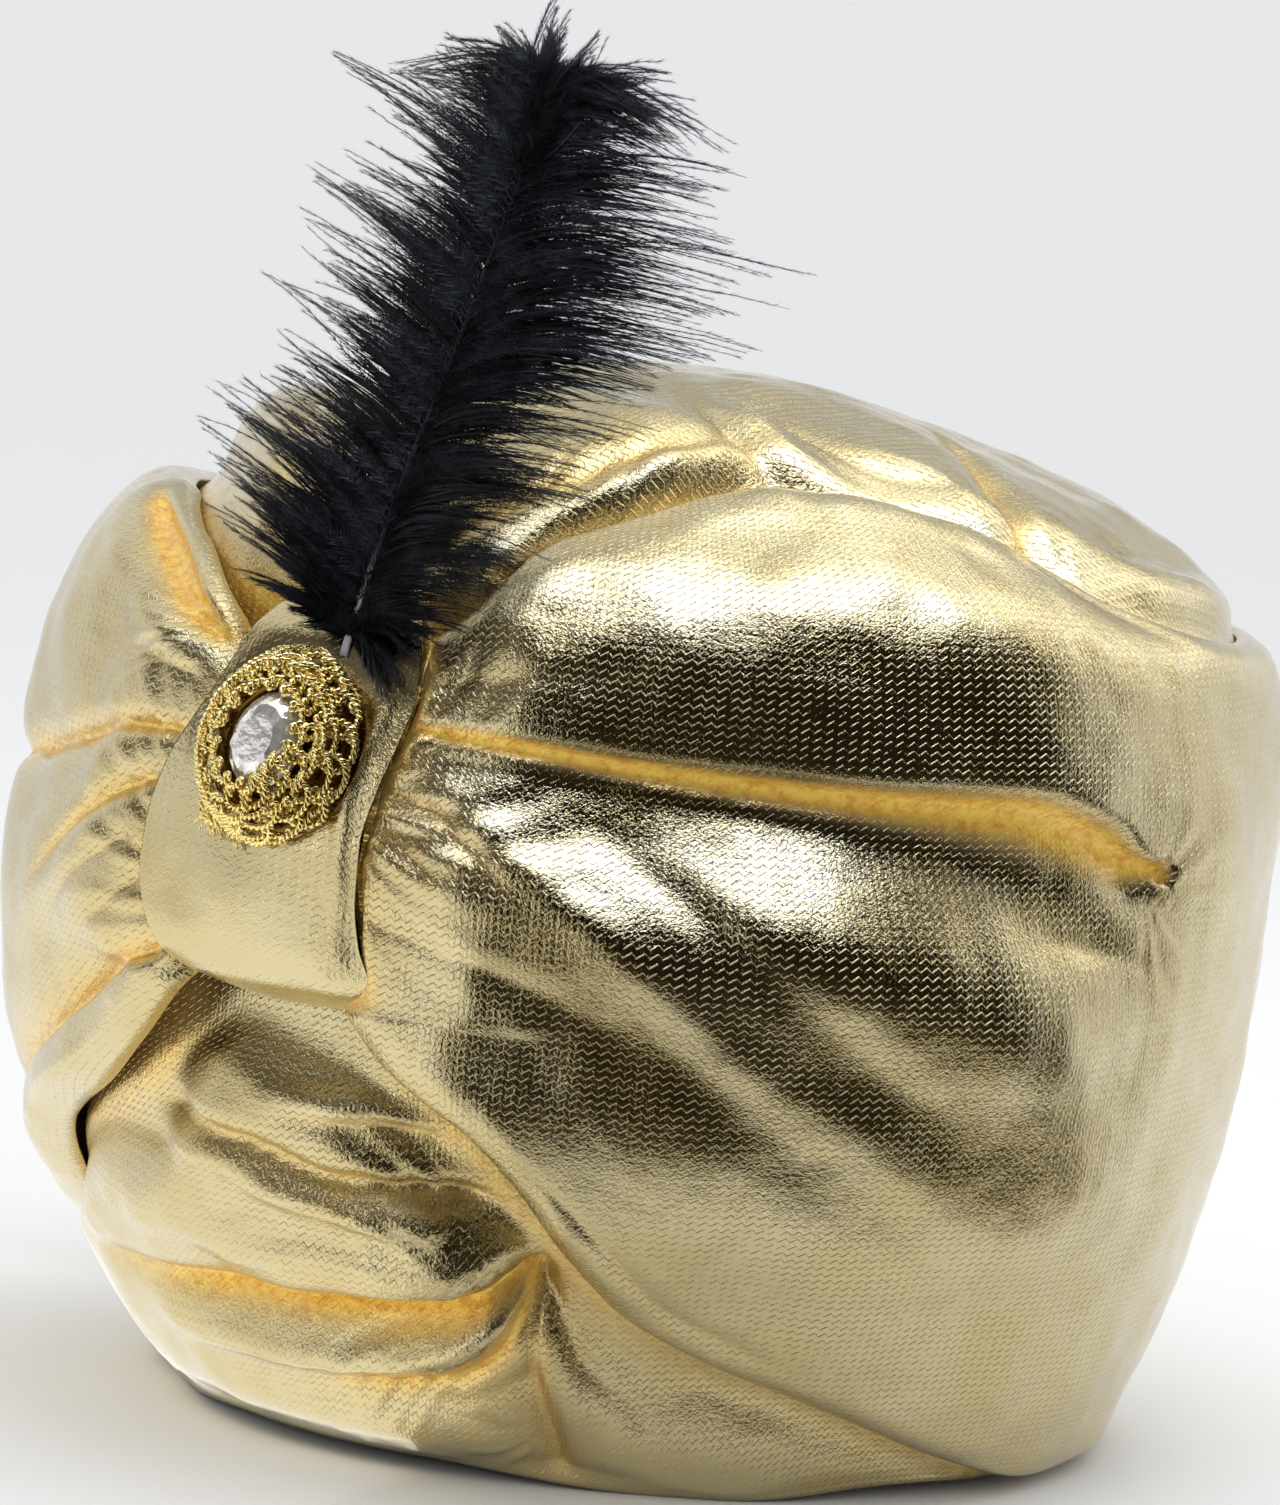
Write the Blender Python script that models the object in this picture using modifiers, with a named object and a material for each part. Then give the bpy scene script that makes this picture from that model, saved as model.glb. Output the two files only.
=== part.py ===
"""Padded turban of foil cloth: crown, two side wings, head band, knot, brooch and plume.

Sizes are in millimetres until a piece is made, and Z is up.
Every layer is a shell that lies a named lift above or below one shared body skin.
A place on the skin is (turn, up).
Turn is in degrees from the front towards the wearer's left.
Up is the distance in mm up along the cloth from the rim.
"""
import math
from collections import namedtuple

import bpy
import numpy as np

MM = 0.001
ORIGIN_SHIFT = (-0.02, 4.36, 0.0)

# Body skin, a row per height: height, reach to the side at the front, reach at the back.
BODY = (
    (0.0, 84.0, 103.0),
    (8.0, 92.0, 105.0),
    (20.0, 101.5, 109.0),
    (40.0, 113.0, 115.0),
    (60.0, 122.5, 120.0),
    (85.0, 128.0, 124.0),
    (110.0, 128.0, 126.0),
    (135.0, 126.0, 127.0),
    (155.0, 122.5, 124.5),
    (172.0, 117.5, 120.0),
    (184.0, 111.0, 113.0),
    (193.5, 100.5, 102.0),
    (202.0, 87.5, 88.5),
    (208.5, 71.0, 71.5),
    (213.5, 51.0, 51.0),
    (216.5, 29.0, 29.0),
    (218.0, 0.0, 0.0),
)
FRONT_STRETCH = 1.045
BACK_STRETCH = 1.105
BLEND_FROM = 40.0
BLEND_TO = 95.0
TURN_MM = 2.16

# The crown is lower towards one side of the back, and the rim is a little off the floor at the front.
CROWN_DROP = 6.0
CROWN_DROP_TURN = 125.0
RIM_RISE = 3.0
RIM_RISE_TURN = -2.0

# Layers
WING_WALL = 4.0
CAP_WALL = 3.0
KNOT_WALL = 2.5
EDGE_DIP = 4.2
BACK_DIP = 3.2
EDGE_ROLL = 11.0
CAP_CLEAR = 2.1
CAP_HIDDEN_DIP = 11.0
FRONT_DIP = 1.6
TUCK_DIP = 5.6
SEAM_GAP = 0.5
RIM_FLAT = 4.0

# Lower edge of the wings, right wing then left wing: turn, up.
HEM_RIGHT = (
    (-180.0, 2.5), (-102.0, 2.5), (-80.0, 13.0), (-66.0, 26.0), (-56.0, 36.0), (-46.0, 48.0),
    (-38.0, 60.0), (-31.5, 67.5), (-20.0, 75.5), (-12.0, 85.0), (-7.0, 97.0), (-5.0, 111.0),
    (-2.0, 130.0),
)
HEM_LEFT = (
    (2.0, 134.0), (9.0, 129.0), (12.5, 117.0), (15.0, 103.0), (19.0, 94.5), (23.0, 88.0),
    (28.0, 75.5), (32.0, 62.5), (38.0, 48.5), (46.5, 38.5), (56.0, 30.5), (64.5, 23.5),
    (78.5, 12.0), (98.0, 2.5), (180.0, 2.5),
)

# Upper edge of the wings: turn, up.
TOP_RIGHT = (
    (-180.0, 187.0), (-120.0, 188.0), (-106.0, 190.0), (-92.0, 196.0), (-78.0, 204.0),
    (-66.0, 209.5), (-55.0, 211.5), (-44.0, 210.0), (-36.0, 205.0), (-26.0, 196.5),
    (-17.0, 187.5), (-10.5, 181.0), (-6.0, 174.0), (-2.0, 164.0),
)
TOP_LEFT = (
    (2.0, 164.0), (9.0, 175.0), (14.0, 183.0), (18.0, 190.0), (21.0, 199.0), (24.0, 208.0),
    (29.0, 216.5), (35.0, 224.5), (41.0, 231.5), (48.0, 236.5), (56.0, 237.0), (65.0, 234.5),
    (74.0, 230.0), (80.0, 223.0), (84.0, 214.0), (88.0, 205.0), (95.0, 197.5), (104.0, 191.5),
    (116.0, 188.0), (140.0, 187.0), (180.0, 187.0),
)

# Turns of the grid columns of a wing, closer together where the folds are.
WING_TURNS = (
    2.0, 6.5, 10.0, 12.5, 15.5, 19.0, 23.0, 27.5, 32.0, 36.5, 41.0, 46.0, 51.0, 56.0, 61.0,
    66.0, 71.0, 76.0, 81.0, 86.0, 92.0, 99.0, 107.0, 116.0, 126.0, 137.0, 149.0, 161.0, 172.0,
    180.0,
)
WING_ROWS = 19

# Rows of the crown and of the head band, and the columns of the head band.
CROWN_SECTORS = 44
CROWN_UPS = (
    122.0, 150.0, 172.0, 184.0, 194.0, 204.0, 214.0, 224.0, 236.0, 250.0, 267.0, 286.0,
)
BAND_TURNS = (
    -180.0, -162.0, -144.0, -126.0, -110.0, -95.0, -82.0, -70.0, -59.0, -50.0, -43.0, -36.0,
    -30.0, -25.0, -20.0, -15.0, -10.0, -5.0, 0.0, 5.0, 10.0, 14.0, 18.0, 21.5, 24.5, 27.0, 29.0,
    31.0, 33.5, 37.0, 41.5, 47.0, 54.0, 62.0, 71.0, 82.0, 95.0, 110.0, 126.0, 144.0, 162.0,
)
BAND_UPS = (
    0.0, 4.0, 11.0, 19.0, 26.0, 32.0, 38.5, 45.0, 52.0, 60.0, 69.0, 75.5, 81.5, 88.0, 100.0,
    121.5,
)

# A fold runs through three places a, b and c of the skin.
# Depth is below the skin, so a ridge has a negative one, and it changes from a by b to c.
# Width is the half width in mm at a and at c, lean moves the fold's slope to its lower side.
Fold = namedtuple(
    "Fold",
    "turn_a up_a turn_b up_b turn_c up_c depth_a depth_b depth_c width_a width_c lean",
)

LEFT_FOLDS = (
    Fold(13.0, 164.0, 50.0, 158.5, 88.0, 142.0, 2.4, 4.2, 3.2, 3.6, 6.5, 0.3),
    Fold(13.0, 152.5, 18.0, 149.0, 23.0, 140.0, 2.4, 2.0, 0.0, 3.6, 4.0, 0.0),
    Fold(17.5, 156.0, 36.5, 124.0, 69.0, 75.0, -0.6, -2.2, -0.4, 4.0, 7.0, 0.0),
    Fold(16.0, 174.0, 28.0, 179.0, 42.0, 181.0, 1.6, 0.8, 0.0, 4.0, 8.0, 0.0),
    Fold(16.0, 125.0, 27.0, 122.0, 37.0, 112.0, 1.8, 1.0, 0.0, 5.0, 8.0, 0.0),
    Fold(38.0, 192.0, 56.0, 197.0, 75.0, 186.0, -1.6, -2.6, -1.2, 16.0, 18.0, 0.0),
    Fold(41.0, 142.0, 55.0, 134.0, 73.0, 122.0, -1.2, -2.2, -1.2, 13.0, 18.0, 0.0),
    Fold(27.0, 108.0, 37.0, 96.0, 51.0, 78.0, -0.8, -1.6, -0.8, 9.0, 14.0, 0.0),
    Fold(75.0, 130.0, 83.0, 128.0, 93.0, 122.0, 0.8, 1.4, 0.4, 4.0, 5.0, 0.0),
)
RIGHT_FOLDS = (
    Fold(-11.0, 158.0, -25.0, 152.0, -46.0, 142.0, 3.4, 4.0, 2.0, 3.8, 4.6, 0.2),
    Fold(-13.0, 146.0, -21.5, 136.5, -30.0, 121.0, 3.2, 2.8, 0.4, 3.8, 5.0, 0.0),
    Fold(-9.0, 112.0, -24.0, 95.0, -47.0, 70.0, 3.0, 4.0, 2.0, 4.0, 5.0, 0.4),
    Fold(-22.0, 176.0, -38.0, 180.0, -58.0, 174.0, -1.0, -2.4, -1.2, 13.0, 16.0, 0.0),
    Fold(-20.0, 144.0, -34.0, 134.0, -52.0, 118.0, -0.6, -1.8, -1.0, 10.0, 16.0, 0.0),
    Fold(-11.0, 94.0, -26.0, 81.0, -44.0, 61.0, -0.8, -2.0, -1.0, 6.0, 8.0, 0.0),
)
CROWN_FOLDS = (
    Fold(39.0, 289.0, 56.0, 254.0, 78.0, 233.0, -0.6, -2.4, -1.0, 8.0, 7.0, 0.0),
    Fold(118.0, 262.0, 88.0, 236.0, 87.0, 207.0, 1.0, 3.2, 2.8, 8.0, 6.0, 0.0),
    Fold(89.0, 212.0, 104.0, 209.0, 126.0, 197.0, -0.8, -2.2, -0.6, 7.0, 8.0, 0.0),
    Fold(-26.0, 214.0, -50.0, 229.0, -90.0, 233.0, -1.0, -2.6, -0.8, 10.0, 12.0, 0.0),
    Fold(9.0, 203.0, 22.0, 229.0, 62.0, 263.0, 2.4, 2.4, 0.4, 6.0, 9.0, 0.0),
    Fold(-8.0, 199.0, -28.0, 233.0, -78.0, 265.0, 2.0, 2.2, 0.4, 6.0, 9.0, 0.0),
    Fold(32.0, 236.0, 26.0, 256.0, 2.0, 288.0, -1.4, -2.2, -0.6, 10.0, 12.0, 0.0),
)
BAND_FOLDS = (
    Fold(2.0, 88.0, 13.0, 88.0, 31.0, 83.0, -1.2, -2.2, -1.0, 4.5, 5.0, 0.0),
    Fold(5.0, 83.0, 15.0, 82.5, 31.0, 78.5, 0.8, 2.4, 2.0, 3.8, 4.0, 0.0),
    Fold(-19.0, 81.0, 2.0, 77.5, 31.0, 71.0, 1.6, 3.2, 2.4, 4.5, 4.2, 0.3),
    Fold(-26.0, 62.0, 2.0, 61.0, 28.0, 63.0, -1.4, -2.8, -1.6, 9.0, 5.5, 0.0),
    Fold(-31.0, 42.0, 2.0, 42.5, 29.0, 53.0, 2.0, 4.0, 3.4, 4.2, 4.0, 0.3),
    Fold(-17.0, 33.0, 6.0, 31.0, 27.0, 47.0, -0.6, -2.0, -1.2, 4.5, 4.0, 0.0),
    Fold(13.0, 29.0, 21.0, 31.5, 28.0, 42.0, 0.6, 2.4, 2.4, 3.8, 3.8, 0.0),
    Fold(30.5, 59.0, 29.0, 38.0, 32.0, 8.0, 4.4, 5.0, 3.6, 4.4, 6.0, 0.0),
    Fold(31.0, 46.0, 35.0, 34.0, 41.0, 22.0, 3.0, 1.8, 0.3, 4.0, 5.0, 0.0),
    Fold(32.0, 54.0, 38.0, 46.0, 47.0, 36.0, 2.6, 1.4, 0.3, 4.0, 5.0, 0.0),
    Fold(41.0, 12.0, 57.0, 10.0, 77.0, 4.0, -2.0, -2.6, -0.8, 10.0, 9.0, 0.0),
    Fold(-20.0, 14.0, 4.0, 13.0, 22.0, 12.0, -1.4, -2.6, -1.2, 9.0, 7.0, 0.0),
)

# Knot band, a row per level: up, turn of the left edge, turn of the right edge, lift.
KNOT_ROWS = (
    (108.5, 1.0, 11.5, -5.0),
    (110.0, -2.0, 13.2, -2.4),
    (112.5, -5.6, 13.9, 1.2),
    (116.0, -8.0, 13.7, 3.6),
    (122.0, -9.6, 12.8, 4.8),
    (131.0, -10.6, 12.2, 5.2),
    (141.0, -10.4, 12.2, 5.4),
    (152.0, -9.0, 13.2, 5.4),
    (161.0, -6.8, 14.4, 5.2),
    (170.0, -4.8, 15.2, 4.8),
    (178.0, -3.6, 14.8, 3.6),
    (184.0, -2.8, 13.6, 0.6),
    (189.0, -2.2, 12.4, -4.0),
)
KNOT_COLUMNS = 9
KNOT_CROWNING = 1.6

# Brooch: the frame follows the knot, a row per ring: half width, half height, lift off the knot.
BROOCH_TURN = 4.0
BROOCH_UP = 156.5
BROOCH_RINGS = (
    (9.1, 11.0, 0.5),
    (16.6, 19.4, 0.5),
    (17.6, 20.4, 2.2),
    (16.2, 19.0, 5.4),
    (13.0, 15.6, 8.0),
    (10.2, 12.4, 9.0),
    (9.0, 10.9, 8.0),
)
BROOCH_SEGMENTS = 40
SCALLOPS = 20
SCALLOP_SHARE = 0.035

# Stone: a row per ring of facets: half width, half height, lift off the knot, shift in steps.
STONE_RINGS = (
    (3.0, 3.8, 0.5, 0.0),
    (8.2, 10.1, 5.8, 0.5),
    (8.5, 10.4, 7.4, 0.5),
    (6.6, 8.2, 10.2, 0.0),
    (4.4, 5.6, 11.6, 0.5),
)
STONE_SIDES = 12

# Plume plane: foot, yaw of the blade and lean of the quill.
PLUME_FOOT = (15.7, -128.8, 166.8)
PLUME_YAW = 22.0
PLUME_LEAN = 20.0
QUILL_WIDE = 1.5
QUILL_FINE = 0.6
LOCK_THICK = 1.4
LOCK_DROOP = 7.0
LOCK_SPREAD = 6.0
LOCK_WEB = 0.6

# Quill centreline: across, along the plume plane.
QUILL_LINE = (
    (1.4, 1.6), (2.4, 9.6), (4.0, 18.0), (7.8, 38.0), (12.0, 56.0), (15.8, 76.0), (19.8, 95.0),
    (22.6, 112.0),
)

# Locks, a row per lock from the foot up: root along the quill from 0 to 1, tip across, tip up.
LEFT_LOCKS = (
    (0.06, -14.0, 3.0),
    (0.14, -20.5, 10.0),
    (0.22, -28.0, 23.0),
    (0.31, -33.5, 37.0),
    (0.40, -32.0, 49.0),
    (0.49, -33.0, 61.0),
    (0.58, -28.0, 75.0),
    (0.67, -27.5, 91.0),
    (0.76, -20.0, 103.0),
    (0.86, -10.0, 117.0),
    (0.97, 5.0, 126.0),
)
RIGHT_LOCKS = (
    (0.06, 17.0, 0.5),
    (0.14, 26.0, 5.0),
    (0.22, 34.0, 15.0),
    (0.31, 40.0, 27.0),
    (0.40, 49.0, 41.0),
    (0.49, 60.0, 56.0),
    (0.58, 70.0, 67.0),
    (0.67, 74.0, 81.0),
    (0.76, 71.0, 94.0),
    (0.86, 62.0, 106.0),
    (0.97, 44.0, 119.0),
)

# Finishes: colour, roughness, metallic.
GOLD_CLOTH = ("gold_cloth", (0.86, 0.66, 0.30, 1.0), 0.25, 1.0)
GOLD_BRAID = ("gold_braid", (0.72, 0.47, 0.12, 1.0), 0.35, 1.0)
CLEAR_STONE = ("clear_stone", (0.90, 0.92, 0.96, 1.0), 0.05, 0.0)
BLACK_PLUME = ("black_plume", (0.01, 0.01, 0.012, 1.0), 0.45, 0.0)


def smooth_through(rows, column, x):
    """Smooth curve without overshoot through a table's column, against its first column."""
    xs = np.array([row[0] for row in rows], float)
    ys = np.array([row[column] for row in rows], float)
    step = np.diff(xs)
    slope = np.diff(ys) / step
    product = slope[:-1] * slope[1:]
    total = np.where(product > 0.0, slope[:-1] + slope[1:], 1.0)
    bend = np.zeros_like(ys)
    bend[1:-1] = np.where(product > 0.0, 2.0 * product / total, 0.0)
    bend[0] = slope[0]
    bend[-1] = slope[-1]
    x = np.clip(x, xs[0], xs[-1])
    k = np.clip(np.searchsorted(xs, x) - 1, 0, len(step) - 1)
    t = (x - xs[k]) / step[k]
    value = ys[k] * (1.0 + 2.0 * t) * (1.0 - t) ** 2
    value = value + ys[k + 1] * t * t * (3.0 - 2.0 * t)
    value = value + step[k] * bend[k] * t * (1.0 - t) ** 2
    return value - step[k] * bend[k + 1] * t * t * (1.0 - t)


def ease(x):
    """Smooth step from 0 to 1 as x goes from 0 to 1."""
    t = np.clip(x, 0.0, 1.0)
    return t * t * (3.0 - 2.0 * t)


def body_by_length():
    """The body table with the distance up along the cloth as its first column."""
    rows = [(0.0,) + BODY[0]]
    for below, here in zip(BODY[:-1], BODY[1:]):
        step = math.hypot(here[0] - below[0], here[1] - below[1])
        rows.append((rows[-1][0] + step,) + here)
    return rows


BODY_ROWS = body_by_length()
POLE_UP = BODY_ROWS[-1][0]


def skin_point(turn, up):
    """Place of the body skin at a turn and a distance up."""
    turn, up = np.broadcast_arrays(np.asarray(turn, float), np.asarray(up, float))
    height = smooth_through(BODY_ROWS, 1, up)
    front = smooth_through(BODY_ROWS, 2, up)
    back = smooth_through(BODY_ROWS, 3, up)
    share = ease((np.abs(turn) - BLEND_FROM) / (BLEND_TO - BLEND_FROM))
    reach = front + (back - front) * share
    angle = np.radians(turn)
    towards = np.maximum(np.cos(angle - math.radians(CROWN_DROP_TURN)), 0.0) ** 1.5
    height = height - CROWN_DROP * towards * ease((height - 168.0) / 30.0) * ease(reach / 85.0)
    stretch = np.where(np.cos(angle) > 0.0, FRONT_STRETCH, BACK_STRETCH)
    return np.stack([reach * np.sin(angle), -stretch * reach * np.cos(angle), height], -1)


def skin_normal(turn, up):
    """Outward direction of the body skin."""
    low = np.clip(np.asarray(up, float) - 0.3, 0.0, POLE_UP - 1.2)
    rise = skin_point(turn, low + 0.6) - skin_point(turn, low)
    along = skin_point(np.asarray(turn) + 0.3, low + 0.3) - skin_point(np.asarray(turn) - 0.3, low + 0.3)
    normal = np.cross(along, rise)
    return normal / np.linalg.norm(normal, axis=-1, keepdims=True)


def skin_lifted(turn, up, lift):
    """Place that lies a lift outside the body skin."""
    return skin_point(turn, up) + skin_normal(turn, up) * np.asarray(lift)[..., None]


def fold_path(fold, count=17):
    """Places along a fold on the skin, with its depth and half width there."""
    t = np.linspace(0.0, 1.0, count)
    first = (1.0 - t) * (1.0 - 2.0 * t)
    middle = 4.0 * t * (1.0 - t)
    last = t * (2.0 * t - 1.0)
    turn = first * fold.turn_a + middle * fold.turn_b + last * fold.turn_c
    up = first * fold.up_a + middle * fold.up_b + last * fold.up_c
    depth = np.interp(t, (0.0, 0.5, 1.0), (fold.depth_a, fold.depth_b, fold.depth_c))
    width = fold.width_a + (fold.width_c - fold.width_a) * t
    return skin_point(turn, up), depth, width


def fold_lift(points, normals, fold):
    """Lift that one fold gives to places of the skin."""
    path, depth, width = fold_path(fold)
    nearest = np.full(len(points), 1e9)
    lift = np.zeros(len(points))
    for k in range(len(path) - 1):
        run = path[k + 1] - path[k]
        t = np.clip(((points - path[k]) @ run) / (run @ run), 0.0, 1.0)
        away = points - path[k] - t[:, None] * run
        gap = np.linalg.norm(away, axis=1)
        side = np.sign(np.sum(np.cross(normals, run) * away, axis=1))
        wide = (width[k] + (width[k + 1] - width[k]) * t) * (1.0 - fold.lean * side)
        deep = depth[k] + (depth[k + 1] - depth[k]) * t
        closer = gap < nearest
        nearest = np.where(closer, gap, nearest)
        lift = np.where(closer, -deep * np.exp(-(gap / wide) ** 2), lift)
    return lift


def folds_lift(turn, up, folds):
    """Lift of a table of folds at an array of places."""
    flat_turn, flat_up = np.ravel(turn), np.ravel(up)
    points = skin_point(flat_turn, flat_up)
    normals = skin_normal(flat_turn, flat_up)
    lift = np.zeros(len(points))
    for fold in folds:
        lift += fold_lift(points, normals, fold)
    return lift.reshape(np.shape(turn))


def edge_distance(turn, up, rows):
    """Distance from a wing's edge in mm, positive above it."""
    rise = smooth_through(rows, 1, turn + 0.5) - smooth_through(rows, 1, turn - 0.5)
    return (up - smooth_through(rows, 1, turn)) / np.sqrt(1.0 + (rise / TURN_MM) ** 2)


def top_dip(turn):
    """How far the upper edge of a wing dips, less at the sides and back."""
    return EDGE_DIP + (BACK_DIP - EDGE_DIP) * ease((np.abs(turn) - 70.0) / 25.0)


def wing_lift(turn, up, hem_rows, top_rows, folds):
    """Lift of a wing's outer face."""
    above_hem = edge_distance(turn, up, hem_rows)
    below_top = -edge_distance(turn, up, top_rows)
    from_seam = (180.0 - np.abs(turn)) * TURN_MM
    under_knot = 1.0 - ease((np.abs(turn) - 5.0) / 9.0)
    lift = -EDGE_DIP * (1.0 - ease(above_hem / EDGE_ROLL))
    lift = lift - top_dip(turn) * (1.0 - ease(below_top / EDGE_ROLL)) * (1.0 - under_knot)
    lift = lift - 2.5 * (1.0 - ease(from_seam / 9.0))
    lift = np.maximum(lift, -EDGE_DIP)
    lift = lift * (1.0 - under_knot) - TUCK_DIP * under_knot
    shown = ease((np.abs(turn) - 8.0) / 7.0)
    inside = ease((above_hem - 1.0) / 8.0) * ease((below_top - 1.0) / 8.0)
    return lift + shown * inside * folds_lift(turn, up, folds)


def open_below(turn, up):
    """Distance below the lower edge of whatever wraps over the head band."""
    left = smooth_through(HEM_LEFT, 1, np.maximum(turn, 14.0))
    right = smooth_through(HEM_RIGHT, 1, np.minimum(turn, -6.0))
    share = np.clip((turn + 6.0) / 20.0, 0.0, 1.0)
    hem = np.where(turn > 14.0, left, np.where(turn < -6.0, right, left * share + right * (1.0 - share)))
    return (hem - up) * 0.8


def open_above(turn, up):
    """Distance above the upper edge of whatever wraps over the crown."""
    left = smooth_through(TOP_LEFT, 1, np.maximum(turn, 16.0))
    right = smooth_through(TOP_RIGHT, 1, np.minimum(turn, -16.0))
    share = np.clip((turn + 16.0) / 32.0, 0.0, 1.0)
    top = np.where(turn > 16.0, left, np.where(turn < -16.0, right, left * share + right * (1.0 - share)))
    top = np.maximum(top, 191.0 - 0.2 * np.abs(turn))
    return (up - top) * 0.9


def cap_lift(shown_by, edge_dip, rise_over, folds, turn, up):
    """Lift of the crown or head band, low where it is covered and full where it shows."""
    dip = edge_dip + WING_WALL + CAP_CLEAR
    lift = -dip + (dip - 0.6) * ease((shown_by - 2.5) / rise_over)
    lift = lift - (CAP_HIDDEN_DIP - dip) * ease(-shown_by / 10.0)
    front = 1.0 - ease((np.abs(turn) - 8.0) / 8.0)
    lift = lift - FRONT_DIP * front * (1.0 - ease(shown_by / 8.0))
    return lift + ease((shown_by - 2.0) / 10.0) * folds_lift(turn, up, folds)


def material_for(finish):
    """One plain material for a finish."""
    name, colour, roughness, metallic = finish
    material = bpy.data.materials.new(name)
    material.use_nodes = True
    shader = material.node_tree.nodes["Principled BSDF"]
    shader.inputs["Base Color"].default_value = colour
    shader.inputs["Roughness"].default_value = roughness
    shader.inputs["Metallic"].default_value = metallic
    material.diffuse_color = colour
    return material


def placed(points):
    """Places in mm moved over the origin and turned into metres."""
    return (np.asarray(points, float) + np.array(ORIGIN_SHIFT)) * MM


def new_object(name, points, faces, material, collection, smooth=True):
    """Object from points in mm."""
    mesh = bpy.data.meshes.new(name)
    mesh.from_pydata(placed(points).tolist(), [], faces)
    mesh.materials.append(material)
    mesh.validate()
    if smooth:
        mesh.shade_smooth()
    thing = bpy.data.objects.new(name, mesh)
    collection.objects.link(thing)
    return thing


def grid_faces(rows, columns, closed=False):
    """Quads of a grid of rows by columns, closed round the columns or not."""
    faces = []
    last = columns if closed else columns - 1
    for row in range(rows - 1):
        for column in range(last):
            following = (column + 1) % columns
            lower = row * columns
            upper = lower + columns
            faces.append((lower + column, lower + following, upper + following, upper + column))
    return faces


def thicken(thing, wall):
    """Cloth wall on the inner side of an open surface."""
    modifier = thing.modifiers.new("wall", "SOLIDIFY")
    modifier.thickness = wall * MM
    modifier.offset = -1.0
    modifier.use_even_offset = True
    modifier.use_rim = True
    modifier.thickness_clamp = 1.0
    return thing


def build_wing(name, side, hem_rows, top_rows, folds, material, collection):
    """Padded side wing from under the knot round to the seam at the back."""
    turns = side * np.array(WING_TURNS)
    turns[-1] = side * (180.0 - math.degrees(0.5 * SEAM_GAP / BODY[6][2]))
    rise = 0.5 - 0.5 * np.cos(np.pi * np.linspace(0.0, 1.0, WING_ROWS))
    rise = 0.45 * rise + 0.55 * np.linspace(0.0, 1.0, WING_ROWS)
    low = smooth_through(hem_rows, 1, turns)
    high = smooth_through(top_rows, 1, turns)
    up = low[None, :] + (high - low)[None, :] * rise[:, None]
    turn = np.broadcast_to(turns, up.shape)
    lift = wing_lift(turn, up, hem_rows, top_rows, folds)
    points = skin_lifted(turn, up, lift).reshape(-1, 3)
    faces = grid_faces(len(rise), len(turns))
    if side < 0:
        faces = [face[::-1] for face in faces]
    return thicken(new_object(name, points, faces, material, collection), WING_WALL)


def build_crown(material, collection):
    """Domed crown, tucked under the wings at its foot."""
    turns = -180.0 + 360.0 * np.arange(CROWN_SECTORS) / CROWN_SECTORS
    turn, up = np.meshgrid(turns, np.array(CROWN_UPS))
    rise_over = 24.0 - 11.0 * ease((np.abs(turn) - 70.0) / 25.0)
    lift = cap_lift(open_above(turn, up), top_dip(turn), rise_over, CROWN_FOLDS, turn, up)
    points = list(skin_lifted(turn, up, lift).reshape(-1, 3))
    faces = grid_faces(len(CROWN_UPS), CROWN_SECTORS, closed=True)
    pole = len(points)
    points.append(skin_point(0.0, POLE_UP))
    start = (len(CROWN_UPS) - 1) * CROWN_SECTORS
    for k in range(CROWN_SECTORS):
        faces.append((start + k, start + (k + 1) % CROWN_SECTORS, pole))
    return thicken(new_object("crown", points, faces, material, collection), CAP_WALL)


def build_band(material, collection):
    """Head band with its gathered front, flattened where it rests."""
    turn, up = np.meshgrid(np.array(BAND_TURNS), np.array(BAND_UPS))
    lift = cap_lift(open_below(turn, up), EDGE_DIP, 22.0, BAND_FOLDS, turn, up)
    points = skin_lifted(turn, up, lift)
    floor = RIM_RISE * (1.0 - ease((np.abs(turn[0] - RIM_RISE_TURN) - 14.0) / 34.0))
    points[0, :, 2] = floor
    points[1, :, 2] = np.maximum(points[1, :, 2], floor + 1.6)
    inward = points[0].copy()
    inward[:, :2] *= 1.0 - RIM_FLAT / np.linalg.norm(inward[:, :2], axis=1, keepdims=True)
    points = np.concatenate([inward[None], points])
    faces = grid_faces(len(BAND_UPS) + 1, len(BAND_TURNS), closed=True)
    band = new_object("head_band", points.reshape(-1, 3), faces, material, collection)
    return thicken(band, CAP_WALL)


def knot_lift(turn, up):
    """Lift of the knot band's outer face."""
    left = smooth_through(KNOT_ROWS, 1, up)
    right = smooth_through(KNOT_ROWS, 2, up)
    across = (turn - left) / (right - left) * 2.0 - 1.0
    return smooth_through(KNOT_ROWS, 3, up) + KNOT_CROWNING * (1.0 - across ** 2) - KNOT_CROWNING


def build_knot(material, collection):
    """Smooth band that wraps the wings together at the front."""
    ups = np.array([row[0] for row in KNOT_ROWS])
    share = np.linspace(0.0, 1.0, KNOT_COLUMNS)
    left = np.array([row[1] for row in KNOT_ROWS])[:, None]
    right = np.array([row[2] for row in KNOT_ROWS])[:, None]
    turn = left + (right - left) * share[None, :]
    up = np.broadcast_to(ups[:, None], turn.shape)
    points = skin_lifted(turn, up, knot_lift(turn, up)).reshape(-1, 3)
    faces = grid_faces(len(ups), KNOT_COLUMNS)
    return thicken(new_object("knot_band", points, faces, material, collection), KNOT_WALL)


def brooch_point(across, along, lift):
    """Place on the brooch, a lift above the knot band."""
    turn = BROOCH_TURN + across / TURN_MM
    up = BROOCH_UP + along
    return skin_lifted(turn, up, knot_lift(turn, up) + lift)


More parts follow.
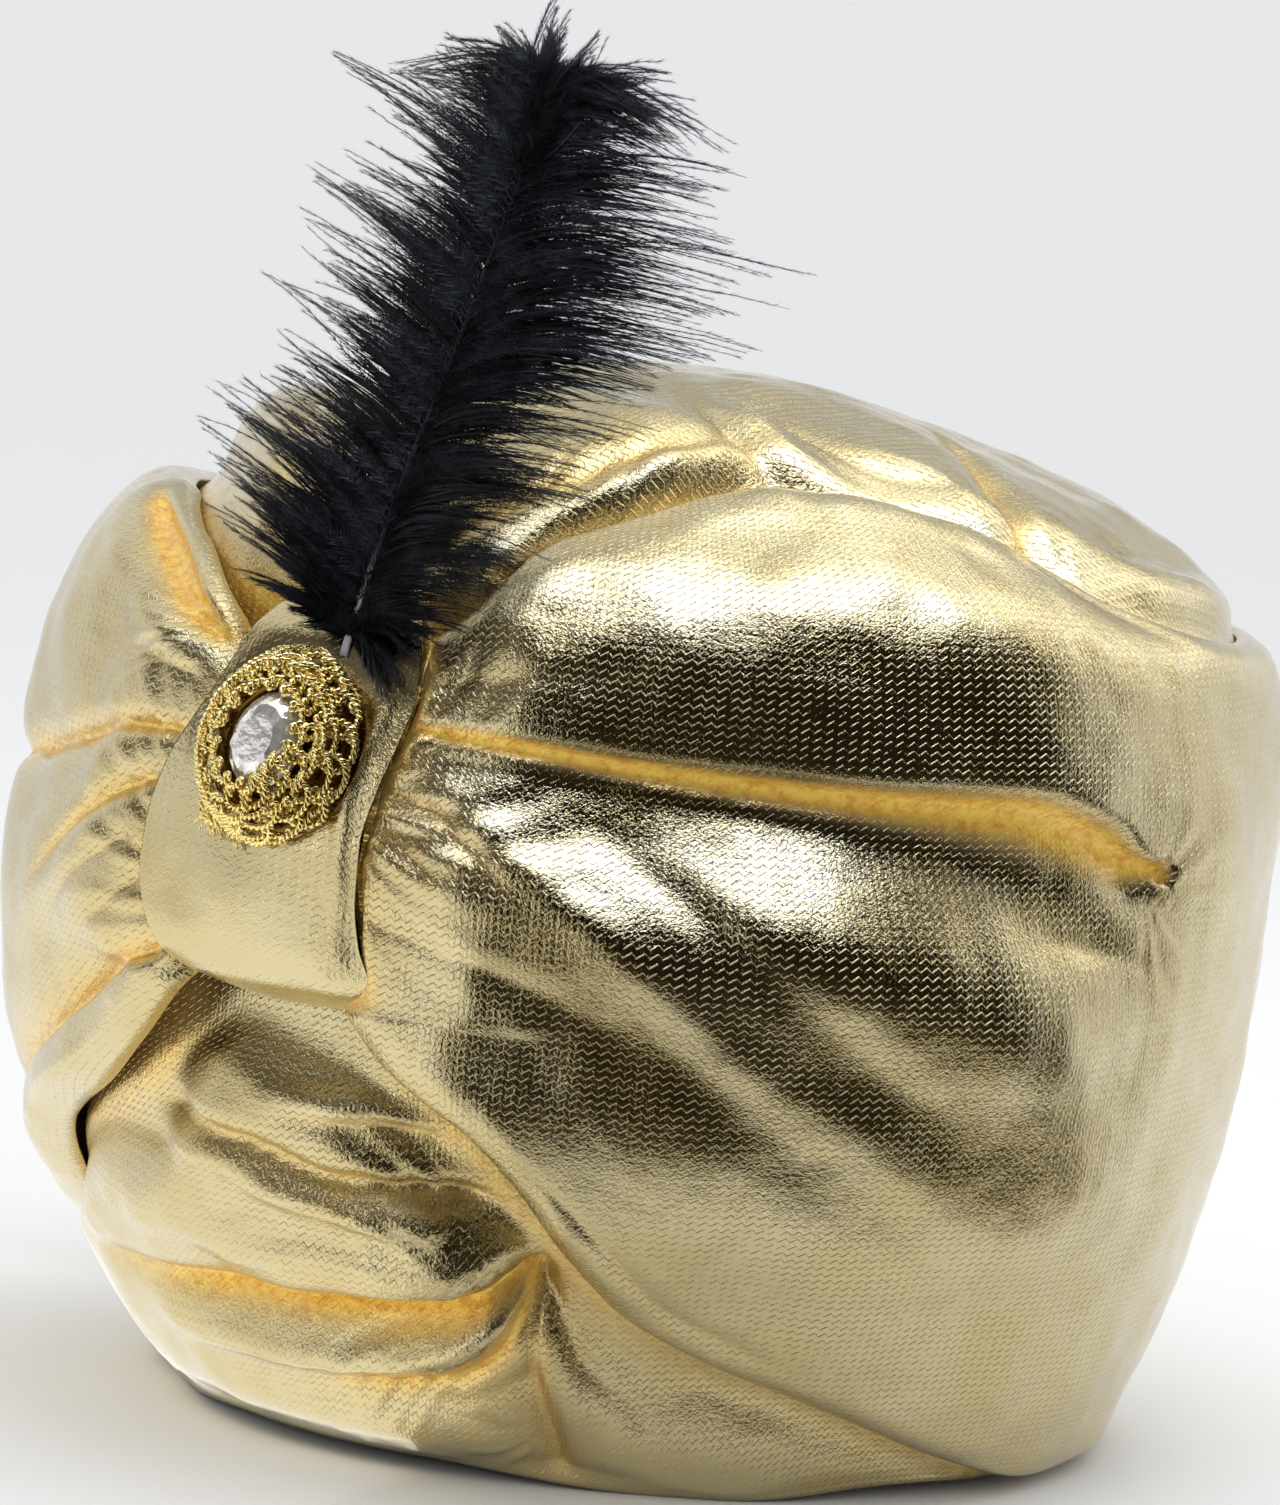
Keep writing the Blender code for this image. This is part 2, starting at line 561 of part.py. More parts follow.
def build_braid(material, collection):
    """Domed oval frame with a scalloped edge, hollow round the stone."""
    angle = 2.0 * np.pi * np.arange(BROOCH_SEGMENTS) / BROOCH_SEGMENTS
    wave = 1.0 + SCALLOP_SHARE * np.cos(SCALLOPS * angle)
    points = []
    for number, (half_width, half_height, lift) in enumerate(BROOCH_RINGS):
        wavy = wave if 0 < number < 4 else np.ones_like(wave)
        ring = brooch_point(half_width * wavy * np.cos(angle), half_height * wavy * np.sin(angle), lift)
        points += list(ring)
    faces = grid_faces(len(BROOCH_RINGS), BROOCH_SEGMENTS, closed=True)
    closing = (len(BROOCH_RINGS) - 1) * BROOCH_SEGMENTS
    for k in range(BROOCH_SEGMENTS):
        following = (k + 1) % BROOCH_SEGMENTS
        faces.append((closing + k, closing + following, following, k))
    return new_object("brooch_braid", points, faces, material, collection)


def build_stone(material, collection):
    """Oval cut stone with a flat table and rings of facets."""
    middle = np.asarray(brooch_point(0.0, 0.0, 0.0))
    outward = np.asarray(skin_normal(BROOCH_TURN, BROOCH_UP))
    side = np.cross((0.0, 0.0, 1.0), outward)
    side = side / np.linalg.norm(side)
    rise = np.cross(outward, side)
    points = []
    for half_width, half_height, lift, shift in STONE_RINGS:
        for k in range(STONE_SIDES):
            angle = 2.0 * math.pi * (k + shift) / STONE_SIDES
            across = half_width * math.cos(angle)
            along = half_height * math.sin(angle)
            points.append(middle + side * across + rise * along + outward * lift)
    faces = [tuple(range(STONE_SIDES))[::-1]]
    for row in range(len(STONE_RINGS) - 1):
        same = STONE_RINGS[row][3] == STONE_RINGS[row + 1][3]
        ahead = 1 if STONE_RINGS[row][3] > STONE_RINGS[row + 1][3] else 0
        for k in range(STONE_SIDES):
            following = (k + 1) % STONE_SIDES
            lower, upper = row * STONE_SIDES, (row + 1) * STONE_SIDES
            if same:
                faces.append((lower + k, lower + following, upper + following, upper + k))
            elif ahead:
                faces.append((lower + k, lower + following, upper + following))
                faces.append((lower + k, upper + following, upper + k))
            else:
                faces.append((lower + k, lower + following, upper + k))
                faces.append((lower + following, upper + following, upper + k))
    top = (len(STONE_RINGS) - 1) * STONE_SIDES
    faces.append(tuple(range(top, top + STONE_SIDES)))
    return new_object("brooch_stone", points, faces, material, collection, smooth=False)


def plume_axes():
    """Foot, side direction, upward direction and facing direction of the plume."""
    yaw, lean = math.radians(PLUME_YAW), math.radians(PLUME_LEAN)
    side = np.array([math.cos(yaw), math.sin(yaw), 0.0])
    rise = np.array([0.0, math.sin(lean), math.cos(lean)])
    facing = np.cross(side, rise)
    facing = facing / np.linalg.norm(facing)
    return np.array(PLUME_FOOT), side, np.cross(facing, side), facing


def plume_point(across, along, forward=0.0):
    """Place in the plume's own plane, moved forward off it."""
    foot, side, rise, facing = plume_axes()
    return foot + across * side + along * rise + forward * facing


def quill_place(share):
    """Across and along of the quill at a share of its length."""
    steps = np.hypot(*np.diff(np.array(QUILL_LINE), axis=0).T)
    lengths = np.concatenate([[0.0], np.cumsum(steps)]) / steps.sum()
    rows = [(length,) + place for length, place in zip(lengths, QUILL_LINE)]
    return smooth_through(rows, 1, share), smooth_through(rows, 2, share)


def lock_points(root, tip, width, share):
    """The two edges of a lock at a share of its length, with how far it droops."""
    root_across, root_along = quill_place(root)
    drift = 0.22 * (tip[1] - root_along)
    bow = 4.0 * share * (1.0 - share)
    across = root_across + (tip[0] - root_across) * share
    along = root_along + (tip[1] - root_along) * share + bow * drift
    half = 0.5 * width * (1.0 - share) ** 0.6 + 0.5
    back = LOCK_DROOP * float(ease((root - 0.2) / 0.4))
    forward = LOCK_SPREAD * float(1.0 - ease(root / 0.25))
    droop = (forward - back) * share ** 2
    return across, along, half, droop


def build_vane(side, locks, material, collection):
    """One side of the plume: locks that share a web along the quill."""
    shares = (0.0, 0.3, LOCK_WEB, 0.76, 0.9, 1.0)
    points = []
    faces = []
    count = len(locks)
    edges = [0.02] + [0.5 * (locks[k][0] + locks[k + 1][0]) for k in range(count - 1)] + [1.0]
    seams = []
    for number, root in enumerate(edges):
        low = locks[max(number - 1, 0)]
        high = locks[min(number, count - 1)]
        tip = (0.5 * (low[1] + high[1]), 0.5 * (low[2] + high[2]))
        seam = []
        for share in shares[:3]:
            across, along, _, droop = lock_points(root, tip, 1.0, share)
            seam.append(len(points))
            points.append(plume_point(float(across), float(along), droop))
        seams.append(seam)
    for number, (root, tip_across, tip_along) in enumerate(locks):
        lower, upper = seams[number], seams[number + 1]
        for row in range(2):
            faces.append((lower[row], lower[row + 1], upper[row + 1], upper[row]))
        left, right = lower[2], upper[2]
        for share in shares[3:]:
            across, along, half, droop = lock_points(root, (tip_across, tip_along), 9.0, share)
            heading = math.atan2(tip_along - float(quill_place(root)[1]), tip_across)
            step = (-math.sin(heading) * half * side, math.cos(heading) * half * side)
            points.append(plume_point(across - step[0], along - step[1], droop))
            points.append(plume_point(across + step[0], along + step[1], droop))
            new_left, new_right = len(points) - 2, len(points) - 1
            faces.append((left, new_left, new_right, right))
            left, right = new_left, new_right
    if side < 0:
        faces = [face[::-1] for face in faces]
    vane = new_object("vane", points, faces, material, collection)
    modifier = vane.modifiers.new("wall", "SOLIDIFY")
    modifier.thickness = LOCK_THICK * MM
    modifier.offset = 0.0
    return vane


def build_plume(material, collection, cutters):
    """Quill with the locks of both sides fused to it."""
    curve = bpy.data.curves.new("plume", "CURVE")
    curve.dimensions = "3D"
    curve.bevel_depth = MM
    curve.bevel_resolution = 2
    curve.use_fill_caps = True
    count = 14
    spline = curve.splines.new("POLY")
    spline.points.add(count - 1)
    for k, point in enumerate(spline.points):
        share = k / (count - 1)
        across, along = quill_place(share)
        place = placed(plume_point(float(across), float(along)))
        point.co = (place[0], place[1], place[2], 1.0)
        point.radius = QUILL_WIDE + (QUILL_FINE - QUILL_WIDE) * share
    curve.materials.append(material)
    plume = bpy.data.objects.new("plume", curve)
    collection.objects.link(plume)
    bpy.context.view_layer.update()
    tube = bpy.data.meshes.new_from_object(plume.evaluated_get(bpy.context.evaluated_depsgraph_get()))
    bpy.data.objects.remove(plume)
    tube.name = "plume"
    plume = bpy.data.objects.new("plume", tube)
    collection.objects.link(plume)
    for side, locks in ((-1, LEFT_LOCKS), (1, RIGHT_LOCKS)):
        vane = build_vane(side, locks, material, cutters)
        vane.hide_render = True
        vane.display_type = "WIRE"
        modifier = plume.modifiers.new("vane", "BOOLEAN")
        modifier.operation = "UNION"
        modifier.solver = "EXACT"
        modifier.object = vane
    return plume


def main():
    """Build the turban."""
    for thing in list(bpy.data.objects):
        bpy.data.objects.remove(thing)
    turban = bpy.data.collections.new("turban")
    cutters = bpy.data.collections.new("cutters")
    bpy.context.scene.collection.children.link(turban)
    bpy.context.scene.collection.children.link(cutters)
    cloth = material_for(GOLD_CLOTH)
    build_crown(cloth, turban)
    build_band(cloth, turban)
    build_wing("wing_left", 1.0, HEM_LEFT, TOP_LEFT, LEFT_FOLDS, cloth, turban)
    build_wing("wing_right", -1.0, HEM_RIGHT, TOP_RIGHT, RIGHT_FOLDS, cloth, turban)
    build_knot(cloth, turban)
    build_braid(material_for(GOLD_BRAID), turban)
    build_stone(material_for(CLEAR_STONE), turban)
    build_plume(material_for(BLACK_PLUME), turban, cutters)


main()
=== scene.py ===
"""Dressed model of a padded costume turban: foil cloth, gimp brooch, cut stone and an ostrich plume.

Sizes are in millimetres until a mesh is made, and Z is up.
A place on the body skin is (turn, up).
Turn is in degrees from the front towards the wearer's left.
Up is the distance up along the cloth from the rim.
"""
import logging
import math
from dataclasses import dataclass, field
from enum import Enum
from typing import Any, Sequence

import bpy
import numpy as np
from mathutils import Matrix, Vector


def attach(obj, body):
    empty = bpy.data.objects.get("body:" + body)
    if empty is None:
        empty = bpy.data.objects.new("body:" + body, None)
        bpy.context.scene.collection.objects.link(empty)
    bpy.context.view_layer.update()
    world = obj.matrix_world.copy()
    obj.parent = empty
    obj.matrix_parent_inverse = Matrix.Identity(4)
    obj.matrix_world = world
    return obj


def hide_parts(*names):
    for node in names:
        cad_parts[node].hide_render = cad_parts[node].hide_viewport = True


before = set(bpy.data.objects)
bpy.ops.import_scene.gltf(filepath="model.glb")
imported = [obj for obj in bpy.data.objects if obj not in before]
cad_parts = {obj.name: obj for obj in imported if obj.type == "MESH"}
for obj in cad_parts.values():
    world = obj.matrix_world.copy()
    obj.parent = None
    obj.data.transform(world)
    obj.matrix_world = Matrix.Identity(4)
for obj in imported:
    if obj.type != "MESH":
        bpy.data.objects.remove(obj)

LOG = logging.getLogger("turban")
Row = tuple[float, ...]

MM = 0.001
ORIGIN_SHIFT = np.array((-0.02, 4.36, 0.0))
TURN_MM = 2.16
IMAGE_LONG_SIDE = 1505
UV_MM = 100.0
# Gap that one degree opens at the seam behind, where both sides draw back.
BACK_MM_PER_DEGREE = 4.5

# Body skin: height, reach at the front, reach at the back.
BODY: tuple[Row, ...] = (
    (0.0, 84.0, 103.0), (8.0, 92.0, 105.0), (20.0, 101.5, 109.0), (40.0, 113.0, 115.0),
    (60.0, 122.5, 120.0), (85.0, 128.0, 124.0), (110.0, 128.0, 126.0), (135.0, 126.0, 127.0),
    (155.0, 122.5, 124.5), (172.0, 117.5, 120.0), (184.0, 111.0, 113.0), (193.5, 100.5, 102.0),
    (202.0, 87.5, 88.5), (208.5, 71.0, 71.5), (213.5, 51.0, 51.0), (216.5, 29.0, 29.0),
    (218.0, 0.0, 0.0),
)

# Lower edges of the wings: turn, up.
HEM_RIGHT: tuple[Row, ...] = (
    (-180.0, 2.5), (-102.0, 2.5), (-80.0, 13.0), (-66.0, 26.0), (-56.0, 36.0), (-46.0, 48.0),
    (-38.0, 61.0), (-31.5, 70.5), (-20.0, 82.5), (-13.0, 94.0), (-9.0, 103.0), (-5.5, 113.0),
    (-2.0, 130.0),
)
HEM_LEFT: tuple[Row, ...] = (
    (2.0, 124.0), (7.5, 116.0), (11.0, 108.5), (14.5, 100.5), (18.5, 94.5), (23.0, 88.0),
    (28.0, 75.5), (32.0, 62.5), (38.0, 48.5), (46.5, 38.5), (56.0, 30.5), (64.5, 23.5),
    (78.5, 12.0), (98.0, 2.5), (180.0, 2.5),
)
# Upper edges of the wings: turn, up.
TOP_RIGHT: tuple[Row, ...] = (
    (-180.0, 187.0), (-120.0, 188.0), (-106.0, 190.0), (-92.0, 196.0), (-78.0, 204.0),
    (-66.0, 209.5), (-55.0, 211.5), (-42.0, 211.0), (-33.0, 207.0), (-23.0, 199.0),
    (-15.0, 190.5), (-9.5, 183.0), (-5.5, 175.0), (-2.0, 164.0),
)
TOP_LEFT: tuple[Row, ...] = (
    (2.0, 164.0), (9.0, 175.0), (14.0, 183.0), (18.0, 190.0), (21.0, 199.0), (24.0, 208.0),
    (29.0, 216.5), (35.0, 224.5), (41.0, 231.5), (48.0, 236.5), (56.0, 237.0), (65.0, 234.5),
    (74.0, 230.0), (80.0, 223.0), (84.0, 214.0), (88.0, 205.0), (95.0, 197.5), (104.0, 191.5),
    (116.0, 188.0), (140.0, 187.0), (180.0, 187.0),
)


def smooth_through(rows: Sequence[Row], column: int, x: Any) -> np.ndarray:
    """Smooth curve without overshoot through one column of a table.

    Args:
        rows: Table whose first column grows.
        column: Column to read.
        x: Places on the first column.

    Returns:
        The values there.
    """
    xs = np.array([row[0] for row in rows], float)
    ys = np.array([row[column] for row in rows], float)
    step = np.diff(xs)
    slope = np.diff(ys) / step
    product = slope[:-1] * slope[1:]
    total = np.where(product > 0.0, slope[:-1] + slope[1:], 1.0)
    bend = np.zeros_like(ys)
    bend[1:-1] = np.where(product > 0.0, 2.0 * product / total, 0.0)
    bend[0], bend[-1] = slope[0], slope[-1]
    x = np.clip(x, xs[0], xs[-1])
    k = np.clip(np.searchsorted(xs, x) - 1, 0, len(step) - 1)
    t = (x - xs[k]) / step[k]
    value = ys[k] * (1.0 + 2.0 * t) * (1.0 - t) ** 2 + ys[k + 1] * t * t * (3.0 - 2.0 * t)
    return value + step[k] * t * (1.0 - t) * (bend[k] * (1.0 - t) - bend[k + 1] * t)


def ease(x: Any) -> np.ndarray:
    """Smooth step from 0 to 1 as x goes from 0 to 1."""
    t = np.clip(x, 0.0, 1.0)
    return t * t * (3.0 - 2.0 * t)


def round_edge(distance: Any, roll: float) -> np.ndarray:
    """Share of an edge's dip at a distance from the edge, round as a quarter circle."""
    t = np.clip(1.0 - np.asarray(distance) / roll, 0.0, 1.0)
    return 1.0 - np.sqrt(np.maximum(1.0 - t * t, 0.0)) * 0.55 - 0.45 * (1.0 - t * t)


def unit(vectors: np.ndarray) -> np.ndarray:
    """Vectors with their length made one."""
    return vectors / np.maximum(np.linalg.norm(vectors, axis=-1, keepdims=True), 1e-9)


def placed(points: Any) -> np.ndarray:
    """Places in mm moved over the origin and turned into metres."""
    return (np.asarray(points, float) + ORIGIN_SHIFT) * MM


@dataclass(frozen=True)
class BodySkin:
    """The form that every layer of the turban lies on."""

    front_stretch: float = 1.045
    back_stretch: float = 1.105
    blend_from: float = 40.0
    blend_to: float = 95.0
    crown_drop: float = 6.0
    crown_drop_turn: float = 125.0
    rows: tuple[Row, ...] = field(init=False)

    def __post_init__(self) -> None:
        """Works out the body table against the distance up along the cloth."""
        rows = [(0.0,) + BODY[0]]
        for below, here in zip(BODY[:-1], BODY[1:]):
            step = math.hypot(here[0] - below[0], here[1] - below[1])
            rows.append((rows[-1][0] + step,) + here)
        object.__setattr__(self, "rows", tuple(rows))

    @property
    def pole_up(self) -> float:
        """Distance up at the top of the crown."""
        return self.rows[-1][0]

    def point(self, turn: Any, up: Any) -> np.ndarray:
        """Place of the skin at a turn and a distance up."""
        turn, up = np.broadcast_arrays(np.asarray(turn, float), np.asarray(up, float))
        height, front, back = (smooth_through(self.rows, column, up) for column in (1, 2, 3))
        share = ease((np.abs(turn) - self.blend_from) / (self.blend_to - self.blend_from))
        reach = front + (back - front) * share
        angle = np.radians(turn)
        towards = np.maximum(np.cos(angle - math.radians(self.crown_drop_turn)), 0.0) ** 1.5
        drop = self.crown_drop * towards * ease((height - 168.0) / 30.0) * ease(reach / 85.0)
        stretch = np.where(np.cos(angle) > 0.0, self.front_stretch, self.back_stretch)
        return np.stack([reach * np.sin(angle), -stretch * reach * np.cos(angle), height - drop], -1)

    def normal(self, turn: Any, up: Any) -> np.ndarray:
        """Outward direction of the skin."""
        low = np.clip(np.asarray(up, float) - 0.3, 0.0, self.pole_up - 1.2)
        turn = np.asarray(turn, float)
        rise = self.point(turn, low + 0.6) - self.point(turn, low)
        along = self.point(turn + 0.3, low + 0.3) - self.point(turn - 0.3, low + 0.3)
        return unit(np.cross(along, rise))

    def lifted(self, turn: Any, up: Any, lift: Any) -> np.ndarray:
        """Place that lies a lift outside the skin."""
        return self.point(turn, up) + self.normal(turn, up) * np.asarray(lift)[..., None]


SKIN = BodySkin()


class FoldForm(Enum):
    """Cross section of a fold."""

    SOFT = "soft"
    CREASE = "crease"
    SHELF = "shelf"


@dataclass(frozen=True)
class Fold:
    """A fold along a line on the skin.

    A station is (turn, up, depth, width): depth is below the skin, so a ridge has a negative one.
    """

    stations: tuple[Row, ...]
    form: FoldForm = FoldForm.CREASE
    lean: float = 0.0
    # glow scales the shade that the fold gives, which the cloth's finish paints as an orange glow.
    glow: float = 1.0

    def path(self) -> tuple[np.ndarray, np.ndarray, np.ndarray]:
        """Closely spaced places along the fold with its depth and width there."""
        knots = [(float(k),) + station for k, station in enumerate(self.stations)]
        t = np.linspace(0.0, len(knots) - 1.0, 9 * (len(knots) - 1) + 1)
        turn, up, depth, width = (smooth_through(knots, column, t) for column in (1, 2, 3, 4))
        return SKIN.point(turn, up), depth, width

    def section(self, side: np.ndarray, gap: np.ndarray, width: np.ndarray) -> np.ndarray:
        """Share of the full depth at a distance to one side of the line."""
        if self.form is FoldForm.SHELF:
            across = side * gap / width
            ramp = np.clip(across, 0.0, 1.0) ** 0.8
            back = 1.0 - ease((across - 1.0) / (0.45 + 1.3 / width))
            return np.where(across < 1.0, ramp, back)
        wide = width * (1.0 - self.lean * side)
        if self.form is FoldForm.CREASE:
            soft = 0.22 * wide
            return np.exp(-(np.sqrt(gap * gap + soft * soft) - soft) / wide)
        return np.exp(-((gap / wide) ** 2))

    def lift_at(self, points: np.ndarray, normals: np.ndarray) -> tuple[np.ndarray, np.ndarray]:
        """Lift and shade of the fold at places of the skin.

        Args:
            points: Places on the skin.
            normals: Outward directions there.

        Returns:
            The lift in mm, and how deep in shade a place is, from 0 to 1, which the cloth's finish
            paints as a glow of bounced light.
        """
        path, depth, width = self.path()
        reach = 6.0 * float(width.max())
        low, high = path.min(0) - reach, path.max(0) + reach
        lift, shade = np.zeros(len(points)), np.zeros(len(points))
        near = np.nonzero(np.all((points > low) & (points < high), axis=1))[0]
        if not len(near):
            return lift, shade
        here, outward = points[near], normals[near]
        nearest = np.full(len(near), 1e9)
        best = np.zeros((3, len(near)))
        for k in range(len(path) - 1):
            run = path[k + 1] - path[k]
            t = np.clip(((here - path[k]) @ run) / (run @ run), 0.0, 1.0)
            away = here - path[k] - t[:, None] * run
            gap = np.linalg.norm(away, axis=1)
            side = np.sign(np.sum(np.cross(outward, run) * away, axis=1))
            closer = gap < nearest
            nearest = np.where(closer, gap, nearest)
            deep = depth[k] + (depth[k + 1] - depth[k]) * t
            wide = width[k] + (width[k + 1] - width[k]) * t
            best = np.where(closer, np.stack([side, deep, wide]), best)
        share = self.section(best[0], nearest, best[2])
        lift[near] = -best[1] * share
        shade[near] = self.glow * share ** 1.5 * np.clip(best[1] / 3.0, 0.0, 1.0)
        return lift, shade


@dataclass(frozen=True)
class Gather:
    """Small pleats that fan out from a place where the cloth is drawn together."""

    turn: float
    up: float
    heading: float
    spread: float
    pleats: float
    height: float
    start: float
    reach: float
    seed: int
    waves: int = 5
    flat_half: float = 0.35
    fade_half: float = 0.3
    sway: float = 0.2
    sway_length: float = 17.0
    bluntness: float = 0.8

    def lift_at(self, turn: np.ndarray, up: np.ndarray) -> np.ndarray:
        """Lift of the pleats at places of the skin."""
        across, along = (turn - self.turn) * TURN_MM, up - self.up
        distance = np.hypot(across, along)
        angle = np.degrees(np.arctan2(along, across)) - self.heading
        angle = (angle + 180.0) % 360.0 - 180.0
        draw = np.random.default_rng(self.seed)
        swing = np.sin(distance / self.sway_length + draw.uniform(0.0, 6.0))
        bent = angle + self.flat_half * self.spread * self.sway * swing
        wave = np.zeros_like(angle)
        for _ in range(self.waves):
            rate = self.pleats * draw.uniform(0.55, 1.6) / self.spread
            strength, phase = draw.uniform(0.5, 1.0), draw.uniform(0.0, 6.3)
            wave = wave + strength * np.sin(np.radians(360.0 * rate * bent) + phase)
        wave = wave / 2.0
        wave = np.sign(wave) * np.abs(wave) ** self.bluntness
        beyond = np.abs(angle) - self.flat_half * self.spread
        fan = 1.0 - ease(beyond / (self.fade_half * self.spread))
        fade = ease((distance - 0.4 * self.start) / self.start) * np.exp(-((distance / self.reach) ** 2))
        return self.height * wave * fan * fade


@dataclass(frozen=True)
class Undulation:
    """Soft unevenness of padded cloth, from a seeded set of waves."""

    length: float
    height: float
    seed: int
    waves: int = 36

    def lift_at(self, points: np.ndarray) -> np.ndarray:
        """Lift at places in mm."""
        draw = np.random.default_rng(self.seed)
        flat = points.reshape(-1, 3)
        total = np.zeros(len(flat))
        for _ in range(self.waves):
            heading = unit(draw.normal(size=3))
            rate = 2.0 * math.pi / (self.length * draw.uniform(0.65, 1.6))
            total += np.sin(flat @ heading * rate + draw.uniform(0.0, 2.0 * math.pi))
        return (self.height * total / math.sqrt(0.5 * self.waves)).reshape(points.shape[:-1])


def folded(
    turn: np.ndarray, up: np.ndarray, folds: Sequence[Fold], gathers: Sequence[Gather] = (),
    waves: Sequence[Undulation] = (),
) -> tuple[np.ndarray, np.ndarray]:
    """Lift and shade of a set of folds, pleats and waves on an array of places.

    Args:
        turn: Turns of the places.
        up: Distances up of the places.
        folds: Single folds.
        gathers: Fans of small pleats.
        waves: Uneven padding.

    Returns:
        The lift in mm, and the shade from 0 to 1.
    """
    points, normals = SKIN.point(turn, up), SKIN.normal(turn, up)
    lift, shade = np.zeros(turn.size), np.zeros(turn.size)
    for fold in folds:
        more, deeper = fold.lift_at(points.reshape(-1, 3), normals.reshape(-1, 3))
        lift += more
        shade = np.maximum(shade, deeper)
    lift = lift.reshape(turn.shape)
    for gather in gathers:
        lift = lift + gather.lift_at(turn, up)
    for wave in waves:
        lift = lift + wave.lift_at(points)
    return lift, shade.reshape(turn.shape)


def edge_distance(turn: Any, up: Any, rows: Sequence[Row]) -> np.ndarray:
    """Distance from a wing's edge in mm, positive above it."""
    rise = smooth_through(rows, 1, turn + 0.5) - smooth_through(rows, 1, turn - 0.5)
    return (up - smooth_through(rows, 1, turn)) / np.sqrt(1.0 + (rise / TURN_MM) ** 2)


class Value:
    """A number that varies over a surface: one socket of a node."""

    def __init__(self, finish: "Finish", socket: Any) -> None:
        """Keeps the finish that the socket belongs to."""
        self.finish = finish
        self.socket = socket

    def maths(self, operation: str, *others: Any, clamp: bool = False) -> "Value":
        """Value that a Math node makes of this one and others."""
        inputs = {k: other for k, other in enumerate((self,) + others)}
        node = self.finish.node("ShaderNodeMath", {"operation": operation, "use_clamp": clamp}, inputs)
        return Value(self.finish, node.outputs[0])

    def reversed_maths(self, operation: str, other: Any) -> "Value":
        """Value that a Math node makes of a number and this one."""
        node = self.finish.node("ShaderNodeMath", {"operation": operation}, {0: other, 1: self})
        return Value(self.finish, node.outputs[0])

    def __add__(self, other: Any) -> "Value":
        """Sum."""
        return self.maths("ADD", other)

    __radd__ = __add__

    def __sub__(self, other: Any) -> "Value":
        """Difference."""
        return self.maths("SUBTRACT", other)

    def __rsub__(self, other: Any) -> "Value":
        """Difference from a number."""
        return self.reversed_maths("SUBTRACT", other)

    def __mul__(self, other: Any) -> "Value":
        """Product."""
        return self.maths("MULTIPLY", other)

    __rmul__ = __mul__

    def __truediv__(self, other: Any) -> "Value":
        """Quotient."""
        return self.maths("DIVIDE", other)

    def __abs__(self) -> "Value":
        """Size without the sign."""
        return self.maths("ABSOLUTE")

    def fraction(self) -> "Value":
        """Part after the whole number."""
        return self.maths("FRACT")

    def wave(self) -> "Value":
        """Sine, from -1 to 1."""
        return self.maths("SINE")

    def clamped(self) -> "Value":
        """Kept between 0 and 1."""
        return self.maths("ADD", 0.0, clamp=True)

    def between(self, low: float, high: float) -> "Value":
        """Smooth step from 0 at low to 1 at high."""
        settings = {"interpolation_type": "SMOOTHSTEP"}
        inputs = {"Value": self, "From Min": low, "From Max": high}
        node = self.finish.node("ShaderNodeMapRange", settings, inputs)
        return Value(self.finish, node.outputs[0])


class Finish:
    """A procedural material and the tools to build its nodes."""

    def __init__(self, name: str) -> None:
        """Makes the material with its Principled shader."""
        self.material = bpy.data.materials.new(name)
        self.material.use_nodes = True
        self.tree = self.material.node_tree
        self.shader = self.tree.nodes["Principled BSDF"]

    def join(self, socket: Any, value: Any) -> None:
        """Gives an input socket a link or a plain value."""
        if isinstance(value, Value):
            self.tree.links.new(value.socket, socket)
        elif isinstance(value, bpy.types.NodeSocket):
            self.tree.links.new(value, socket)
        else:
            socket.default_value = value

    def node(
        self, kind: str, settings: dict[str, Any] | None = None,
        inputs: dict[Any, Any] | None = None,
    ) -> Any:
        """Any node.

        Args:
            kind: Node type.
            settings: Attributes that are set first; stops is a ramp's list of place and colour.
            inputs: Values or links by socket name or number.

        Returns:
            The new node.
        """
        node = self.tree.nodes.new(kind)
        for name, value in (settings or {}).items():
            if name == "stops":
                ramp = node.color_ramp
                while len(ramp.elements) < len(value):
                    ramp.elements.new(0.5)
                for element, (place, colour) in zip(ramp.elements, value):
                    element.position, element.color = place, colour
            else:
                setattr(node, name, value)
        for key, value in (inputs or {}).items():
            self.join(node.inputs[key], value)
        return node

    def value(
        self, kind: str, output: Any, settings: dict[str, Any] | None = None,
        inputs: dict[Any, Any] | None = None,
    ) -> Value:
        """One output of any node as a value."""
        return Value(self, self.node(kind, settings, inputs).outputs[output])

    def noise(
        self, scale: float, detail: float = 2.0, roughness: float = 0.5, where: Any = None,
    ) -> Value:
        """Noise over the object's own coordinates, or over a given vector."""
        place = where if where is not None else self.node("ShaderNodeTexCoord").outputs["Object"]
        inputs = {"Vector": place, "Scale": scale, "Detail": detail, "Roughness": roughness}
        return self.value("ShaderNodeTexNoise", "Fac", None, inputs)

    def attribute(self, name: str) -> Value:
        """A number stored on the mesh."""
        return self.value("ShaderNodeAttribute", "Fac", {"attribute_name": name})

    def blend(self, share: Any, first: Any, second: Any) -> Any:
        """Colour between two colours."""
        settings = {"data_type": "RGBA"}
        node = self.node("ShaderNodeMix", settings, {0: share, 6: first, 7: second})
        return node.outputs[2]

    def bump(self, height: Value, distance_mm: float, under: Any = None) -> Any:
        """Normal from a height between 0 and 1."""
        inputs: dict[Any, Any] = {"Height": height, "Distance": distance_mm * MM, "Strength": 1.0}
        if under is not None:
            inputs["Normal"] = under
        return self.node("ShaderNodeBump", None, inputs).outputs["Normal"]

    def dress(self, **values: Any) -> bpy.types.Material:
        """Sets the shader's sockets, with underscores for spaces, and returns the material."""
        for name, value in values.items():
            self.join(self.shader.inputs[name.replace("_", " ")], value)
        return self.material


